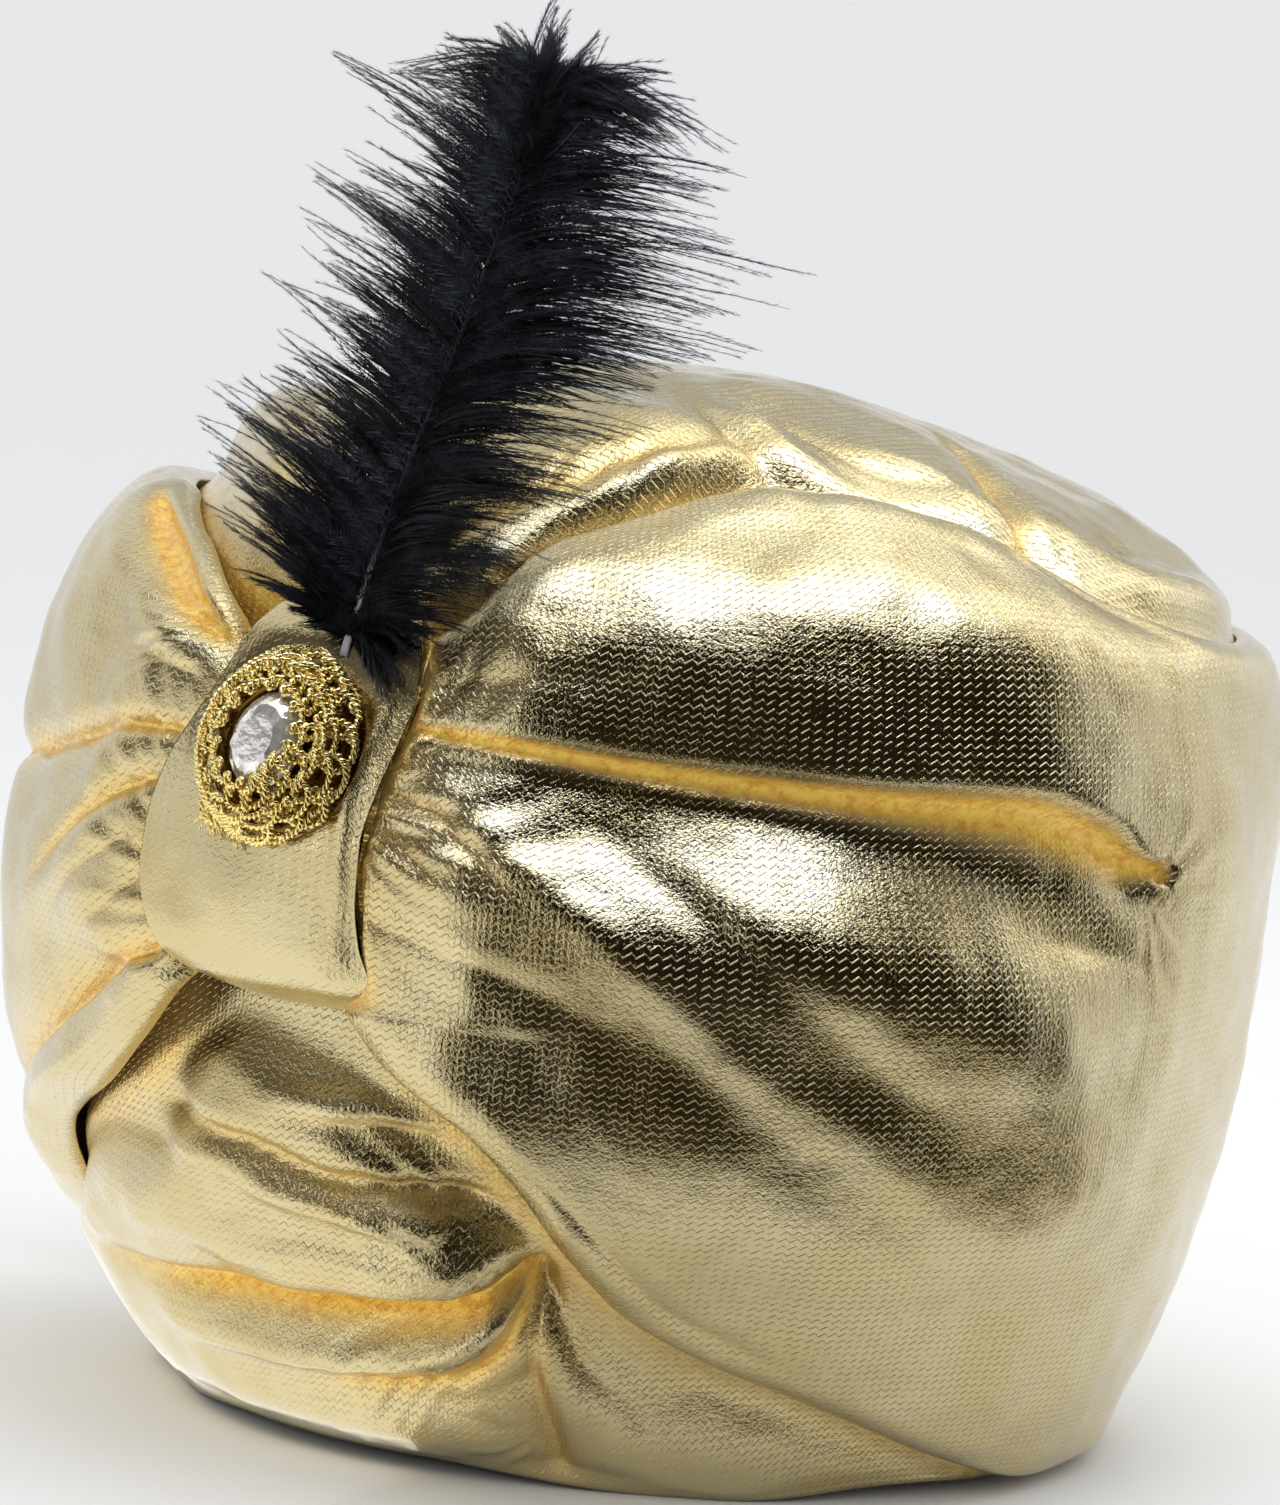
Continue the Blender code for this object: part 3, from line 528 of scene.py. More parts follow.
@dataclass(frozen=True)
class FoilCloth:
    """Gold foil on a warp knit: zigzag relief, crinkles, a fine glitter, and a painted orange glow of
    bounced light in its folds and along its edges.
    """

    name: str = "gold_foil_cloth"
    relief: float = 1.0
    colour: Row = (0.60, 0.495, 0.245, 1.0)
    pale: Row = (0.64, 0.55, 0.31, 1.0)
    # Painted glow of light bounced inside the folds, in two oranges.
    deep: Row = (0.98, 0.66, 0.12, 1.0)
    fold_glow_dark: Row = (0.78, 0.34, 0.035, 1.0)
    zigzag_wide: float = 2.3
    zigzag_tall: float = 1.62
    rising: float = 0.6
    swing: float = 0.55
    wale: float = 1.15
    crinkle_depth: float = 0.17
    zigzag_depth: float = 0.16
    wale_depth: float = 0.022
    grain_depth: float = 0.06
    rough_grain: float = 0.14
    turning: float = 0.06

    def material(self) -> bpy.types.Material:
        """Builds the finish."""
        finish = Finish(self.name)
        weave = finish.node("ShaderNodeUVMap", {"uv_map": "weave"}).outputs[0]
        split = finish.node("ShaderNodeSeparateXYZ", None, {0: weave})
        across = Value(finish, split.outputs[0]) * UV_MM
        along = Value(finish, split.outputs[1]) * UV_MM
        phase = (across / self.zigzag_wide).fraction()
        tooth = (phase / self.rising).maths("MINIMUM", (1.0 - phase) / (1.0 - self.rising))
        stroke = abs((along / self.zigzag_tall - tooth * self.swing).fraction() * 2.0 - 1.0)
        turn_back = phase.between(self.rising - self.turning, self.rising + self.turning)
        strong = 1.0 - turn_back * 0.55
        uneven = finish.noise(330.0, 1.0, 0.5).between(0.3, 0.6) * 0.6 + 0.4
        zigzag = stroke.between(0.76, 0.98) * strong * uneven
        wales = (across * (2.0 * math.pi / self.wale)).wave() * 0.5 + 0.5
        crinkle = finish.noise(260.0, 3.0, 0.6)
        grain = finish.noise(1500.0, 2.0, 0.75)
        embossed = finish.noise(26.0, 2.0, 0.5).between(0.38, 0.62)
        # The shade attribute marks folds, hems and valleys. Below, it paints them orange as a glow of
        # bounced light, lowers the metal so that glow catches the room's light, and adds roughness and
        # crinkle.
        fold_shade = finish.attribute("shade")
        normal = finish.bump(crinkle * (fold_shade.clamped() * 1.2 + 1.0), self.crinkle_depth)
        normal = finish.bump(
            zigzag * (embossed * 0.35 + 0.65), self.zigzag_depth * self.relief, normal,
        )
        normal = finish.bump(wales, self.wale_depth * self.relief, normal)
        normal = finish.bump(grain, self.grain_depth + self.rough_grain * self.relief, normal)
        faded = finish.noise(38.0, 2.0, 0.5).between(0.35, 0.7)
        base = finish.blend(faded, self.colour, self.pale)
        # Noise that varies the painted fold glow between its two oranges.
        gathers = finish.noise(430.0, 3.0, 0.65).between(0.4, 0.7)
        folded_in = finish.blend(gathers * 0.8, self.deep, self.fold_glow_dark)
        base = finish.blend(fold_shade.clamped(), base, folded_in)
        roughness = 0.08 + finish.noise(95.0, 3.0, 0.6) * 0.08 + fold_shade * 0.12
        metal = (1.0 - fold_shade * 0.5).clamped()
        return finish.dress(
            Base_Color=base, Metallic=metal, Roughness=roughness, Normal=normal,
            Coat_Weight=0.3, Coat_Roughness=0.1,
        )


@dataclass(frozen=True)
class ClothBack:
    """Plain inner side of the foil cloth: a dull cream knit."""

    colour: Row = (0.62, 0.52, 0.33, 1.0)
    stitch: Row = (0.42, 0.33, 0.19, 1.0)
    wale: float = 1.45
    course: float = 1.05

    def material(self) -> bpy.types.Material:
        """Builds the finish."""
        finish = Finish("knit_back")
        weave = finish.node("ShaderNodeUVMap", {"uv_map": "weave"}).outputs[0]
        split = finish.node("ShaderNodeSeparateXYZ", None, {0: weave})
        across = Value(finish, split.outputs[0]) * UV_MM
        along = Value(finish, split.outputs[1]) * UV_MM
        wales = (across * (2.0 * math.pi / self.wale)).wave() * 0.5 + 0.5
        courses = (along * (2.0 * math.pi / self.course)).wave() * 0.5 + 0.5
        loops = wales * courses
        fuzz = finish.noise(900.0, 3.0, 0.6)
        normal = finish.bump(loops, 0.2)
        normal = finish.bump(fuzz, 0.1, normal)
        base = finish.blend(loops.between(0.1, 0.7), self.stitch, self.colour)
        return finish.dress(Base_Color=base, Roughness=0.9, Metallic=0.0, Normal=normal)


@dataclass(frozen=True)
class GoldCord:
    """Twisted metallic cord of the gimp, with painted shade on the ring under the cords."""

    bright: Row = (1.0, 0.82, 0.34, 1.0)
    worn: Row = (0.78, 0.50, 0.12, 1.0)
    # Painted shade of the ring under the cords.
    under: Row = (0.22, 0.12, 0.025, 1.0)

    def material(self) -> bpy.types.Material:
        """Builds the finish."""
        finish = Finish("gold_gimp_cord")
        fibres = finish.noise(2600.0, 2.0, 0.6)
        tarnish = finish.noise(260.0, 3.0, 0.6).between(0.5, 0.9)
        base = finish.blend(tarnish, self.bright, self.worn)
        # Painted shade: where the shade attribute is 1, on the ring under the cords, the colour turns
        # dark brown.
        base = finish.blend(finish.attribute("shade"), base, self.under)
        normal = finish.bump(fibres, 0.06)
        return finish.dress(Base_Color=base, Metallic=1.0, Roughness=0.2, Normal=normal)


@dataclass(frozen=True)
class FoilStone:
    """Clear acrylic stone over a silvery foil, its facets painted lighter or darker at random as
    reflections.
    """

    light: Row = (1.0, 0.97, 0.90, 1.0)
    dark: Row = (0.46, 0.44, 0.42, 1.0)

    def material(self) -> bpy.types.Material:
        """Builds the finish."""
        finish = Finish("clear_cut_stone")
        # Painted reflection: a random value per face makes facets lighter or darker, as cut facets catch
        # the light.
        facet_glint = finish.attribute("shade")
        cloud = finish.noise(420.0, 3.0, 0.6).between(0.3, 0.75)
        base = finish.blend((facet_glint * 0.75 + cloud * 0.45 - 0.1).clamped(), self.light, self.dark)
        normal = finish.bump(finish.noise(620.0, 2.0, 0.5), 0.12)
        return finish.dress(
            Base_Color=base, Metallic=0.72, Roughness=0.12, Normal=normal,
            Coat_Weight=1.0, Coat_Roughness=0.03,
        )


@dataclass(frozen=True)
class PlumeBlack:
    """Dyed ostrich barbs: black, with a cool sheen painted in as lighter streaks."""

    black: Row = (0.0025, 0.003, 0.0035, 1.0)
    sheen: Row = (0.012, 0.015, 0.018, 1.0)

    def material(self) -> bpy.types.Material:
        """Builds the finish."""
        finish = Finish("black_barbs")
        # Painted sheen: lighter, cooler streaks in the black colour.
        streak = finish.noise(140.0, 3.0, 0.6).between(0.4, 0.75)
        base = finish.blend(streak, self.black, self.sheen)
        return finish.dress(Base_Color=base, Roughness=0.4, Metallic=0.0, Specular_IOR_Level=0.2)


@dataclass(frozen=True)
class QuillHorn:
    """Quill: pale horn at its foot, dyed dark further up."""

    horn: Row = (0.33, 0.33, 0.34, 1.0)
    dyed: Row = (0.012, 0.013, 0.016, 1.0)

    def material(self) -> bpy.types.Material:
        """Builds the finish."""
        finish = Finish("quill_horn")
        along = finish.attribute("shade")
        grain = finish.noise(500.0, 2.0, 0.5)
        base = finish.blend((along + grain * 0.16 - 0.08).between(0.04, 0.2), self.horn, self.dyed)
        normal = finish.bump(grain, 0.05)
        return finish.dress(Base_Color=base, Roughness=0.36, Normal=normal, Specular_IOR_Level=0.25)


@dataclass(frozen=True)
class PaleFloor:
    """Matt pale floor."""

    colour: Row = (0.88, 0.88, 0.88, 1.0)

    def material(self) -> bpy.types.Material:
        """Builds the finish."""
        finish = Finish("pale_floor")
        return finish.dress(Base_Color=self.colour, Roughness=0.75)


@dataclass
class Patch:
    """Points, faces, weave coordinates and shade of one piece while it is built."""

    points: list[np.ndarray] = field(default_factory=list)
    faces: list[tuple[int, ...]] = field(default_factory=list)
    weave: list[np.ndarray] = field(default_factory=list)
    shade: list[np.ndarray] = field(default_factory=list)
    back_faces: set[int] = field(default_factory=set)

    def count(self) -> int:
        """Number of points so far."""
        return sum(len(chunk) for chunk in self.points)

    def add(
        self, points: np.ndarray, weave: np.ndarray | None = None,
        shade: np.ndarray | None = None,
    ) -> int:
        """Adds points and returns the number of the first one."""
        start = self.count()
        flat = np.asarray(points, float).reshape(-1, 3)
        weave = np.zeros((len(flat), 2)) if weave is None else np.asarray(weave, float)
        shade = np.zeros(len(flat)) if shade is None else np.asarray(shade, float)
        self.points.append(flat)
        self.weave.append(weave.reshape(-1, 2))
        self.shade.append(shade.ravel())
        return start

    def object(
        self, name: str, materials: Sequence[bpy.types.Material], smooth: bool = True,
    ) -> bpy.types.Object:
        """Makes the object."""
        mesh = bpy.data.meshes.new(name)
        points = placed(np.concatenate(self.points))
        mesh.from_pydata(points.tolist(), [], self.faces)
        for material in materials:
            mesh.materials.append(material)
        weave = np.concatenate(self.weave) / UV_MM
        loops = np.zeros(len(mesh.loops), np.int32)
        mesh.loops.foreach_get("vertex_index", loops)
        layer = mesh.uv_layers.new(name="weave")
        layer.data.foreach_set("uv", weave[loops].astype(np.float32).ravel())
        shade = mesh.attributes.new("shade", "FLOAT", "POINT")
        shade.data.foreach_set("value", np.concatenate(self.shade).astype(np.float32))
        if self.back_faces:
            slots = np.zeros(len(mesh.polygons), np.int32)
            slots[list(self.back_faces)] = 1
            mesh.polygons.foreach_set("material_index", slots)
        if smooth:
            mesh.shade_smooth()
        mesh.update()
        thing = bpy.data.objects.new(name, mesh)
        bpy.context.scene.collection.objects.link(thing)
        return thing


def seat(
    piece: bpy.types.Object, nodes: Sequence[str],
) -> bpy.types.Object:
    """Puts a piece on the body in place of its CAD nodes.

    Args:
        piece: The new piece.
        nodes: CAD nodes that it stands for.

    Returns:
        The piece.
    """
    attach(piece, "root")
    if nodes:
        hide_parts(*nodes)
    LOG.info("%s: %d faces", piece.name, len(piece.data.polygons))
    return piece


@dataclass
class ClothShell:
    """Padded shell of cloth over a grid of places on the skin."""

    turn: np.ndarray
    up: np.ndarray
    lift: np.ndarray
    shade: np.ndarray
    wall: float
    inner_every: int = 8
    closed: bool = False
    flip: bool = False
    bulge: float = 1.0
    weave: np.ndarray | None = None
    floor: float = 0.15

    def strip(self, patch: Patch, lower: int, upper: int, back: bool = False) -> None:
        """Faces between two rows of points."""
        columns = self.turn.shape[1]
        for column in range(columns if self.closed else columns - 1):
            following = (column + 1) % columns
            face = (lower + column, lower + following, upper + following, upper + column)
            if back:
                patch.back_faces.add(len(patch.faces))
            patch.faces.append(face[::-1] if self.flip else face)

    def rim(self, outer: np.ndarray, inner: np.ndarray, inward: np.ndarray) -> list[np.ndarray]:
        """Rows that round off an edge from its outer to its inner line."""
        middle, half = 0.5 * (outer + inner), 0.5 * (outer - inner)
        beyond = unit(outer - inward) * self.bulge
        angles = np.radians((40.0, 90.0, 140.0))
        return [middle + half * math.cos(a) + beyond * math.sin(a) for a in angles]

    def build(self, pole: bool = False) -> Patch:
        """Outer face, rounded edges and a plain inner face.

        Args:
            pole: True where the last row closes in one point.

        Returns:
            The patch.
        """
        patch = Patch()
        rows, columns = self.turn.shape
        outer = SKIN.lifted(self.turn, self.up, self.lift)
        outer[..., 2] = np.maximum(outer[..., 2], self.floor)
        weave = self.weave
        if weave is None:
            weave = np.stack([self.turn * TURN_MM, self.up], -1)
        marks = sorted(set(list(range(0, rows - 1, self.inner_every)) + [rows - 1]))
        spans = zip([0] + marks[:-1], marks[1:] + [rows - 1])
        low = np.array([self.lift[a:b + 1].min(0) for a, b in spans])
        low[0] = np.minimum(low[0], self.lift[0])
        inner = SKIN.lifted(self.turn[marks], self.up[marks], low - self.wall)
        inner[..., 2] = np.maximum(inner[..., 2], self.floor)
        starts = [patch.add(outer[row], weave[row], self.shade[row]) for row in range(rows)]
        for row in range(rows - 1):
            self.strip(patch, starts[row], starts[row + 1])
        ends = [(0, 1)] if pole else [(0, 1), (rows - 1, rows - 2)]
        inner_starts = [patch.add(inner[k], weave[marks[k]]) for k in range(len(marks))]
        for k in range(len(marks) - 1):
            self.strip(patch, inner_starts[k + 1], inner_starts[k], back=True)
        for edge, inside in ends:
            first = edge == 0
            chain = [starts[edge]]
            for line in self.rim(outer[edge], inner[0 if first else -1], outer[inside]):
                line[..., 2] = np.maximum(line[..., 2], self.floor)
                chain.append(patch.add(line, weave[edge], self.shade[edge]))
            chain.append(inner_starts[0 if first else -1])
            for below, above in zip(chain[:-1], chain[1:]):
                if first:
                    self.strip(patch, above, below)
                else:
                    self.strip(patch, below, above)
        if pole:
            self.close_pole(patch, starts[-1], outer[-1], False)
            self.close_pole(patch, inner_starts[-1], inner[-1], True)
        elif not self.closed:
            for column in (0, columns - 1):
                side = [start + column for start in starts + inner_starts[::-1]]
                patch.faces.append(tuple(side if (column == 0) == self.flip else side[::-1]))
        return patch

    def close_pole(self, patch: Patch, start: int, ring: np.ndarray, back: bool) -> None:
        """Closes the last row in its middle point."""
        columns = len(ring)
        tip = patch.add(ring.mean(0)[None], np.zeros((1, 2)))
        for column in range(columns):
            face = (start + column, start + (column + 1) % columns, tip)
            if back:
                patch.back_faces.add(len(patch.faces))
            patch.faces.append(face[::-1] if back else face)


def wing_columns(near: float, far: float) -> np.ndarray:
    """Turns of a wing's columns, close together where the folds are."""
    fine = np.arange(2.0, 98.0, near)
    coarse = np.arange(98.0, 179.9, far)
    return np.concatenate([fine, coarse])


SLIT = Fold(
    (
        (12.5, 162.6, 1.6, 2.2), (22.0, 160.8, 2.8, 2.8), (34.0, 158.4, 3.6, 3.4),
        (46.0, 155.6, 4.4, 4.4), (56.0, 152.6, 5.0, 5.8), (64.0, 149.4, 5.6, 8.0),
        (72.5, 145.0, 6.0, 10.5), (80.0, 141.0, 6.0, 9.6),
        (85.0, 139.0, 5.4, 7.0), (88.8, 140.6, 3.4, 3.4),
    ),
    FoldForm.SHELF, 0.0, 1.7,
)

LEFT_FOLDS: tuple[Fold, ...] = (
    SLIT,
    Fold(((14.0, 160.5, 1.0, 4.0), (26.0, 158.8, 3.2, 6.5), (42.0, 155.4, 4.6, 8.5),
          (58.0, 150.6, 5.2, 9.5), (74.0, 143.0, 5.0, 9.5), (88.0, 138.0, 1.6, 6.0)),
          FoldForm.CREASE, 0.55, 0.0),
    Fold(((16.0, 138.0, -2.6, 10.0), (32.0, 131.0, -6.0, 15.0), (52.0, 123.0, -8.6, 18.0),
          (70.0, 114.0, -5.4, 17.0), (88.0, 106.0, -0.6, 14.0)), FoldForm.SOFT),
    Fold(((38.0, 188.0, -1.4, 15.0), (54.0, 194.0, -3.4, 18.0), (70.0, 189.0, -2.6, 18.0),
          (82.0, 180.0, -0.8, 14.0)), FoldForm.SOFT),
    Fold(((32.0, 178.0, -0.6, 12.0), (52.0, 172.0, -1.8, 13.0), (74.0, 164.0, -1.8, 13.0),
          (90.0, 156.0, -0.4, 10.0)), FoldForm.SOFT),
    Fold(((17.5, 156.0, -0.3, 3.0), (27.0, 140.0, -1.2, 4.0), (36.5, 124.0, -2.0, 5.0),
          (46.0, 106.0, -2.2, 5.5), (56.5, 93.0, -1.6, 6.0), (70.0, 74.0, -0.3, 7.0)),
          FoldForm.SOFT),
    Fold(((30.0, 151.0, 0.2, 3.0), (40.0, 136.0, 1.2, 4.0), (50.0, 118.0, 1.6, 5.0),
          (61.0, 101.0, 1.0, 6.0), (71.0, 88.0, 0.1, 6.0)), FoldForm.SOFT, 0.0, 0.0),
    Fold(((13.0, 152.5, 2.2, 1.6), (18.0, 149.5, 2.2, 1.8), (23.0, 141.0, 1.2, 2.2),
          (26.0, 134.0, 0.0, 2.6)), FoldForm.CREASE, 0.2, 0.5),
    Fold(((13.0, 145.0, 1.6, 1.6), (17.0, 141.0, 1.4, 2.0), (20.0, 133.0, 0.0, 2.4)),
          FoldForm.CREASE, 0.0, 0.4),
    Fold(((14.0, 172.0, 1.4, 2.2), (22.0, 175.0, 1.0, 2.6), (34.0, 178.0, 0.2, 4.0)),
          FoldForm.CREASE, 0.0, 0.2),
    Fold(((14.0, 127.0, 1.6, 2.2), (24.0, 121.0, 1.2, 3.0), (36.0, 110.0, 0.2, 4.0)),
          FoldForm.CREASE, 0.0, 0.1),
    Fold(((48.0, 138.0, -1.0, 12.0), (62.0, 128.0, -2.8, 16.0), (78.0, 116.0, -1.6, 15.0)),
          FoldForm.SOFT),
    Fold(((27.0, 110.0, -0.4, 8.0), (38.0, 92.0, -1.6, 11.0), (52.0, 72.0, -1.0, 13.0)),
          FoldForm.SOFT),
    Fold(((74.0, 131.0, 0.6, 2.4), (83.0, 128.0, 1.6, 3.0), (94.0, 121.0, 0.2, 4.0)),
          FoldForm.CREASE, 0.0, 0.1),
    Fold(((84.0, 140.0, 0.8, 4.0), (96.0, 131.0, 1.0, 6.0), (108.0, 118.0, 0.1, 8.0)),
          FoldForm.SOFT, 0.0, 0.0),
    Fold(((25.0, 87.0, 0.5, 1.6), (29.5, 81.0, 0.8, 1.7), (35.5, 68.0, 1.0, 1.8),
          (41.5, 53.0, 1.0, 1.8), (49.0, 44.5, 0.7, 2.0), (60.0, 35.0, 0.1, 2.0)),
          FoldForm.CREASE, 0.0, 0.15),
    Fold(((66.0, 60.0, -0.2, 10.0), (80.0, 76.0, -1.2, 12.0), (92.0, 98.0, -0.2, 12.0)),
          FoldForm.SOFT),
    Fold(((60.0, 74.0, 0.1, 9.0), (74.0, 58.0, 1.0, 11.0), (84.0, 34.0, 0.2, 9.0)),
          FoldForm.SOFT, 0.0, 0.0),
    Fold(((96.0, 180.0, 0.4, 8.0), (112.0, 150.0, 1.4, 12.0), (124.0, 112.0, 0.3, 12.0)),
          FoldForm.SOFT, 0.0, 0.0),
    Fold(((118.0, 176.0, -0.3, 10.0), (134.0, 140.0, -1.4, 16.0), (146.0, 92.0, -0.4, 16.0)),
          FoldForm.SOFT),
    Fold(((150.0, 180.0, 0.2, 8.0), (156.0, 120.0, 1.2, 13.0), (150.0, 50.0, 0.2, 12.0)),
          FoldForm.SOFT, 0.0, 0.0),
)
LEFT_GATHERS: tuple[Gather, ...] = (
    Gather(7.0, 150.0, 6.0, 120.0, 10.0, 0.65, 13.0, 42.0, 11),
    Gather(88.0, 141.0, -20.0, 150.0, 7.0, 0.5, 5.0, 20.0, 12),
    Gather(182.0, 118.0, 180.0, 170.0, 9.0, 1.0, 10.0, 56.0, 13),
)

RIGHT_FOLDS: tuple[Fold, ...] = (
    Fold(((-9.0, 157.0, 2.4, 1.8), (-17.0, 156.0, 4.4, 2.0), (-25.5, 152.0, 5.0, 2.2),
          (-34.0, 147.5, 4.6, 2.2), (-46.0, 142.0, 3.6, 2.6), (-60.0, 138.0, 1.6, 3.2),
          (-74.0, 135.0, 0.2, 4.0)), FoldForm.CREASE, 0.1, 0.9),
    Fold(((-6.0, 175.0, 1.0, 1.6), (-9.0, 178.0, 4.0, 2.6), (-15.5, 184.5, 5.4, 3.6),
          (-23.0, 192.0, 5.4, 3.7), (-31.0, 199.0, 4.2, 3.0), (-37.0, 204.0, 0.6, 2.0)),
          FoldForm.SOFT, 0.0, 2.4),
    Fold(((-8.0, 177.5, -0.3, 0.9), (-15.5, 184.5, -1.4, 1.0), (-23.0, 192.0, -1.4, 1.0),
          (-33.0, 200.5, -0.3, 0.9)), FoldForm.SOFT),
    Fold(((-8.0, 169.0, -0.6, 3.0), (-17.0, 177.0, -1.8, 4.0), (-27.0, 185.0, -1.6, 4.0),
          (-37.0, 194.0, -0.3, 4.0)), FoldForm.SOFT),
    Fold(((-12.0, 147.0, 3.0, 1.7), (-18.0, 141.0, 3.6, 1.9), (-25.0, 131.0, 2.8, 2.2),
          (-31.0, 120.0, 0.6, 3.0)), FoldForm.CREASE, 0.0, 0.7),
    Fold(((-9.0, 114.0, 3.0, 2.4), (-15.0, 109.0, 5.2, 2.8), (-21.0, 101.5, 6.6, 3.0),
          (-28.0, 92.5, 6.6, 3.0), (-39.5, 80.0, 5.4, 2.8), (-48.0, 70.0, 4.0, 2.8),
          (-60.0, 56.0, 1.0, 4.0)), FoldForm.CREASE, 0.3, 0.8),
    Fold(((-22.0, 174.0, -0.8, 11.0), (-38.0, 178.0, -2.6, 15.0), (-58.0, 172.0, -1.4, 16.0)),
          FoldForm.SOFT),
    Fold(((-18.0, 130.0, -0.8, 8.0), (-34.0, 122.0, -2.2, 14.0), (-54.0, 112.0, -1.2, 16.0)),
          FoldForm.SOFT),
    Fold(((-12.0, 92.0, -1.0, 5.0), (-24.0, 82.0, -2.6, 6.5), (-44.0, 60.0, -1.4, 8.0)),
          FoldForm.SOFT),
    Fold(((-14.0, 134.0, 1.4, 1.7), (-20.0, 126.0, 1.4, 2.0), (-27.0, 115.0, 0.2, 2.6)),
          FoldForm.CREASE, 0.0, 0.3),
    Fold(((-12.0, 127.0, 1.4, 1.7), (-17.0, 118.0, 1.2, 2.0), (-23.0, 109.0, 0.2, 2.6)),
          FoldForm.CREASE, 0.0, 0.3),
    Fold(((-9.0, 168.0, 1.6, 1.7), (-18.0, 171.0, 1.2, 2.0), (-30.0, 173.0, 0.1, 3.0)),
          FoldForm.CREASE, 0.0, 0.2),
    Fold(((-62.0, 186.0, 0.3, 8.0), (-76.0, 158.0, 1.3, 12.0), (-84.0, 118.0, 0.3, 12.0)),
          FoldForm.SOFT, 0.0, 0.0),
    Fold(((-74.0, 96.0, -0.2, 10.0), (-92.0, 74.0, -1.3, 14.0), (-108.0, 40.0, -0.2, 12.0)),
          FoldForm.SOFT),
    Fold(((-104.0, 178.0, 0.3, 9.0), (-118.0, 142.0, 1.4, 13.0), (-126.0, 96.0, 0.3, 13.0)),
          FoldForm.SOFT, 0.0, 0.0),
    Fold(((-140.0, 176.0, -0.3, 10.0), (-152.0, 128.0, -1.2, 15.0), (-158.0, 70.0, -0.3, 15.0)),
          FoldForm.SOFT),
)
RIGHT_GATHERS: tuple[Gather, ...] = (
    Gather(1.0, 134.0, 196.0, 150.0, 15.0, 0.75, 12.0, 40.0, 21),
    Gather(-4.0, 176.0, 160.0, 90.0, 10.0, 0.75, 10.0, 34.0, 22),
    Gather(-182.0, 112.0, 0.0, 170.0, 9.0, 1.0, 10.0, 56.0, 23),
)

PADDING = (Undulation(46.0, 0.55, 31), Undulation(17.0, 0.13, 32), Undulation(8.0, 0.045, 33))


@dataclass
class Wing:
    """Padded side wrap from under the knot round to the seam at the back."""

    name: str
    node: str
    side: float
    hem: tuple[Row, ...]
    top: tuple[Row, ...]
    folds: tuple[Fold, ...]
    gathers: tuple[Gather, ...]
    wall: float = 2.3
    hem_dip: float = 4.2
    hem_roll: float = 8.0
    edge_dip: float = 6.4
    back_dip: float = 3.0
    edge_roll: float = 15.0
    tuck_dip: float = 5.6
    puff: float = 3.8
    puff_from: float = 8.0
    puff_over: float = 8.0
    seam_gap: float = 0.5
    seam_dip: float = 2.5
    seam_roll: float = 8.0
    knot_overlap: float = 5.2
    knot_slope: float = 5.0
    rows: int = 170
    near_step: float = 0.52
    far_step: float = 1.5

    def top_dip(self, turn: np.ndarray) -> np.ndarray:
        """How far the upper edge dips, less at the sides and back."""
        return self.edge_dip + (self.back_dip - self.edge_dip) * ease((np.abs(turn) - 66.0) / 22.0)

    def beyond_knot(self, turn: np.ndarray, up: np.ndarray) -> np.ndarray:
        """Degrees beyond the knot band's edge on this side."""
        edge = smooth_through(KNOT_ROWS, 2 if self.side > 0.0 else 1, up)
        return self.side * (turn - edge)

    def surface(self, turn: np.ndarray, up: np.ndarray) -> tuple[np.ndarray, np.ndarray]:
        """Lift and shade of the outer face."""
        beyond = self.beyond_knot(turn, up)
        above_hem = edge_distance(turn, up, self.hem)
        below_top = -edge_distance(turn, up, self.top)
        from_seam = (180.0 - np.abs(turn)) * TURN_MM
        under_knot = 1.0 - ease((beyond + self.knot_overlap) / self.knot_slope)
        lift = -self.hem_dip * round_edge(above_hem, self.hem_roll)
        lift = lift - self.top_dip(turn) * round_edge(below_top, self.edge_roll) * (1.0 - under_knot)
        lift = lift - self.seam_dip * round_edge(from_seam, self.seam_roll)
        lift = np.maximum(lift, -self.edge_dip)
        lift = lift * (1.0 - under_knot) - self.tuck_dip * under_knot
        flank = 0.45 * ease((beyond + 1.0) / 1.6) + 0.55 * ease((beyond - 0.5) / 9.0)
        past = np.maximum(beyond - self.puff_from, 0.0) / self.puff_over
        lift = lift + self.puff * flank * np.exp(-(past ** 2))
        shown = ease((beyond + 2.0) / 4.0)
        inside = ease((above_hem - 0.5) / 6.0) * ease((below_top - 0.5) / 6.0)
        more, shade = folded(turn, up, self.folds, self.gathers, PADDING)
        # Painted shade: the cloth along the knot band's edge is given shade, which the finish paints as
        # an orange shadow.
        near_knot = np.exp(-np.maximum(beyond, 0.0) * TURN_MM / 1.6)
        near_knot = near_knot * (0.7 + 0.3 * ease((up - 128.0) / 16.0))
        shade = np.maximum(shade * np.maximum(inside, 0.4), 0.9 * near_knot)
        return lift + shown * inside * more, shade

    def build(self, cloth: bpy.types.Material, back: bpy.types.Material) -> bpy.types.Object:
        """Makes the wing and seats it."""
        last = 180.0 - self.seam_gap / BACK_MM_PER_DEGREE
        turns = self.side * np.append(wing_columns(self.near_step, self.far_step), last)
        share = np.linspace(0.0, 1.0, self.rows)
        share = 0.3 * (0.5 - 0.5 * np.cos(np.pi * share)) + 0.7 * share
        low, high = smooth_through(self.hem, 1, turns), smooth_through(self.top, 1, turns)
        up = low[None, :] + (high - low)[None, :] * share[:, None]
        turn = np.broadcast_to(turns, up.shape).copy()
        lift, shade = self.surface(turn, up)
        shell = ClothShell(turn, up, lift, shade, self.wall, flip=self.side < 0.0, bulge=1.2)
        piece = shell.build().object(self.name, (cloth, back))
        return seat(piece, (self.node,))


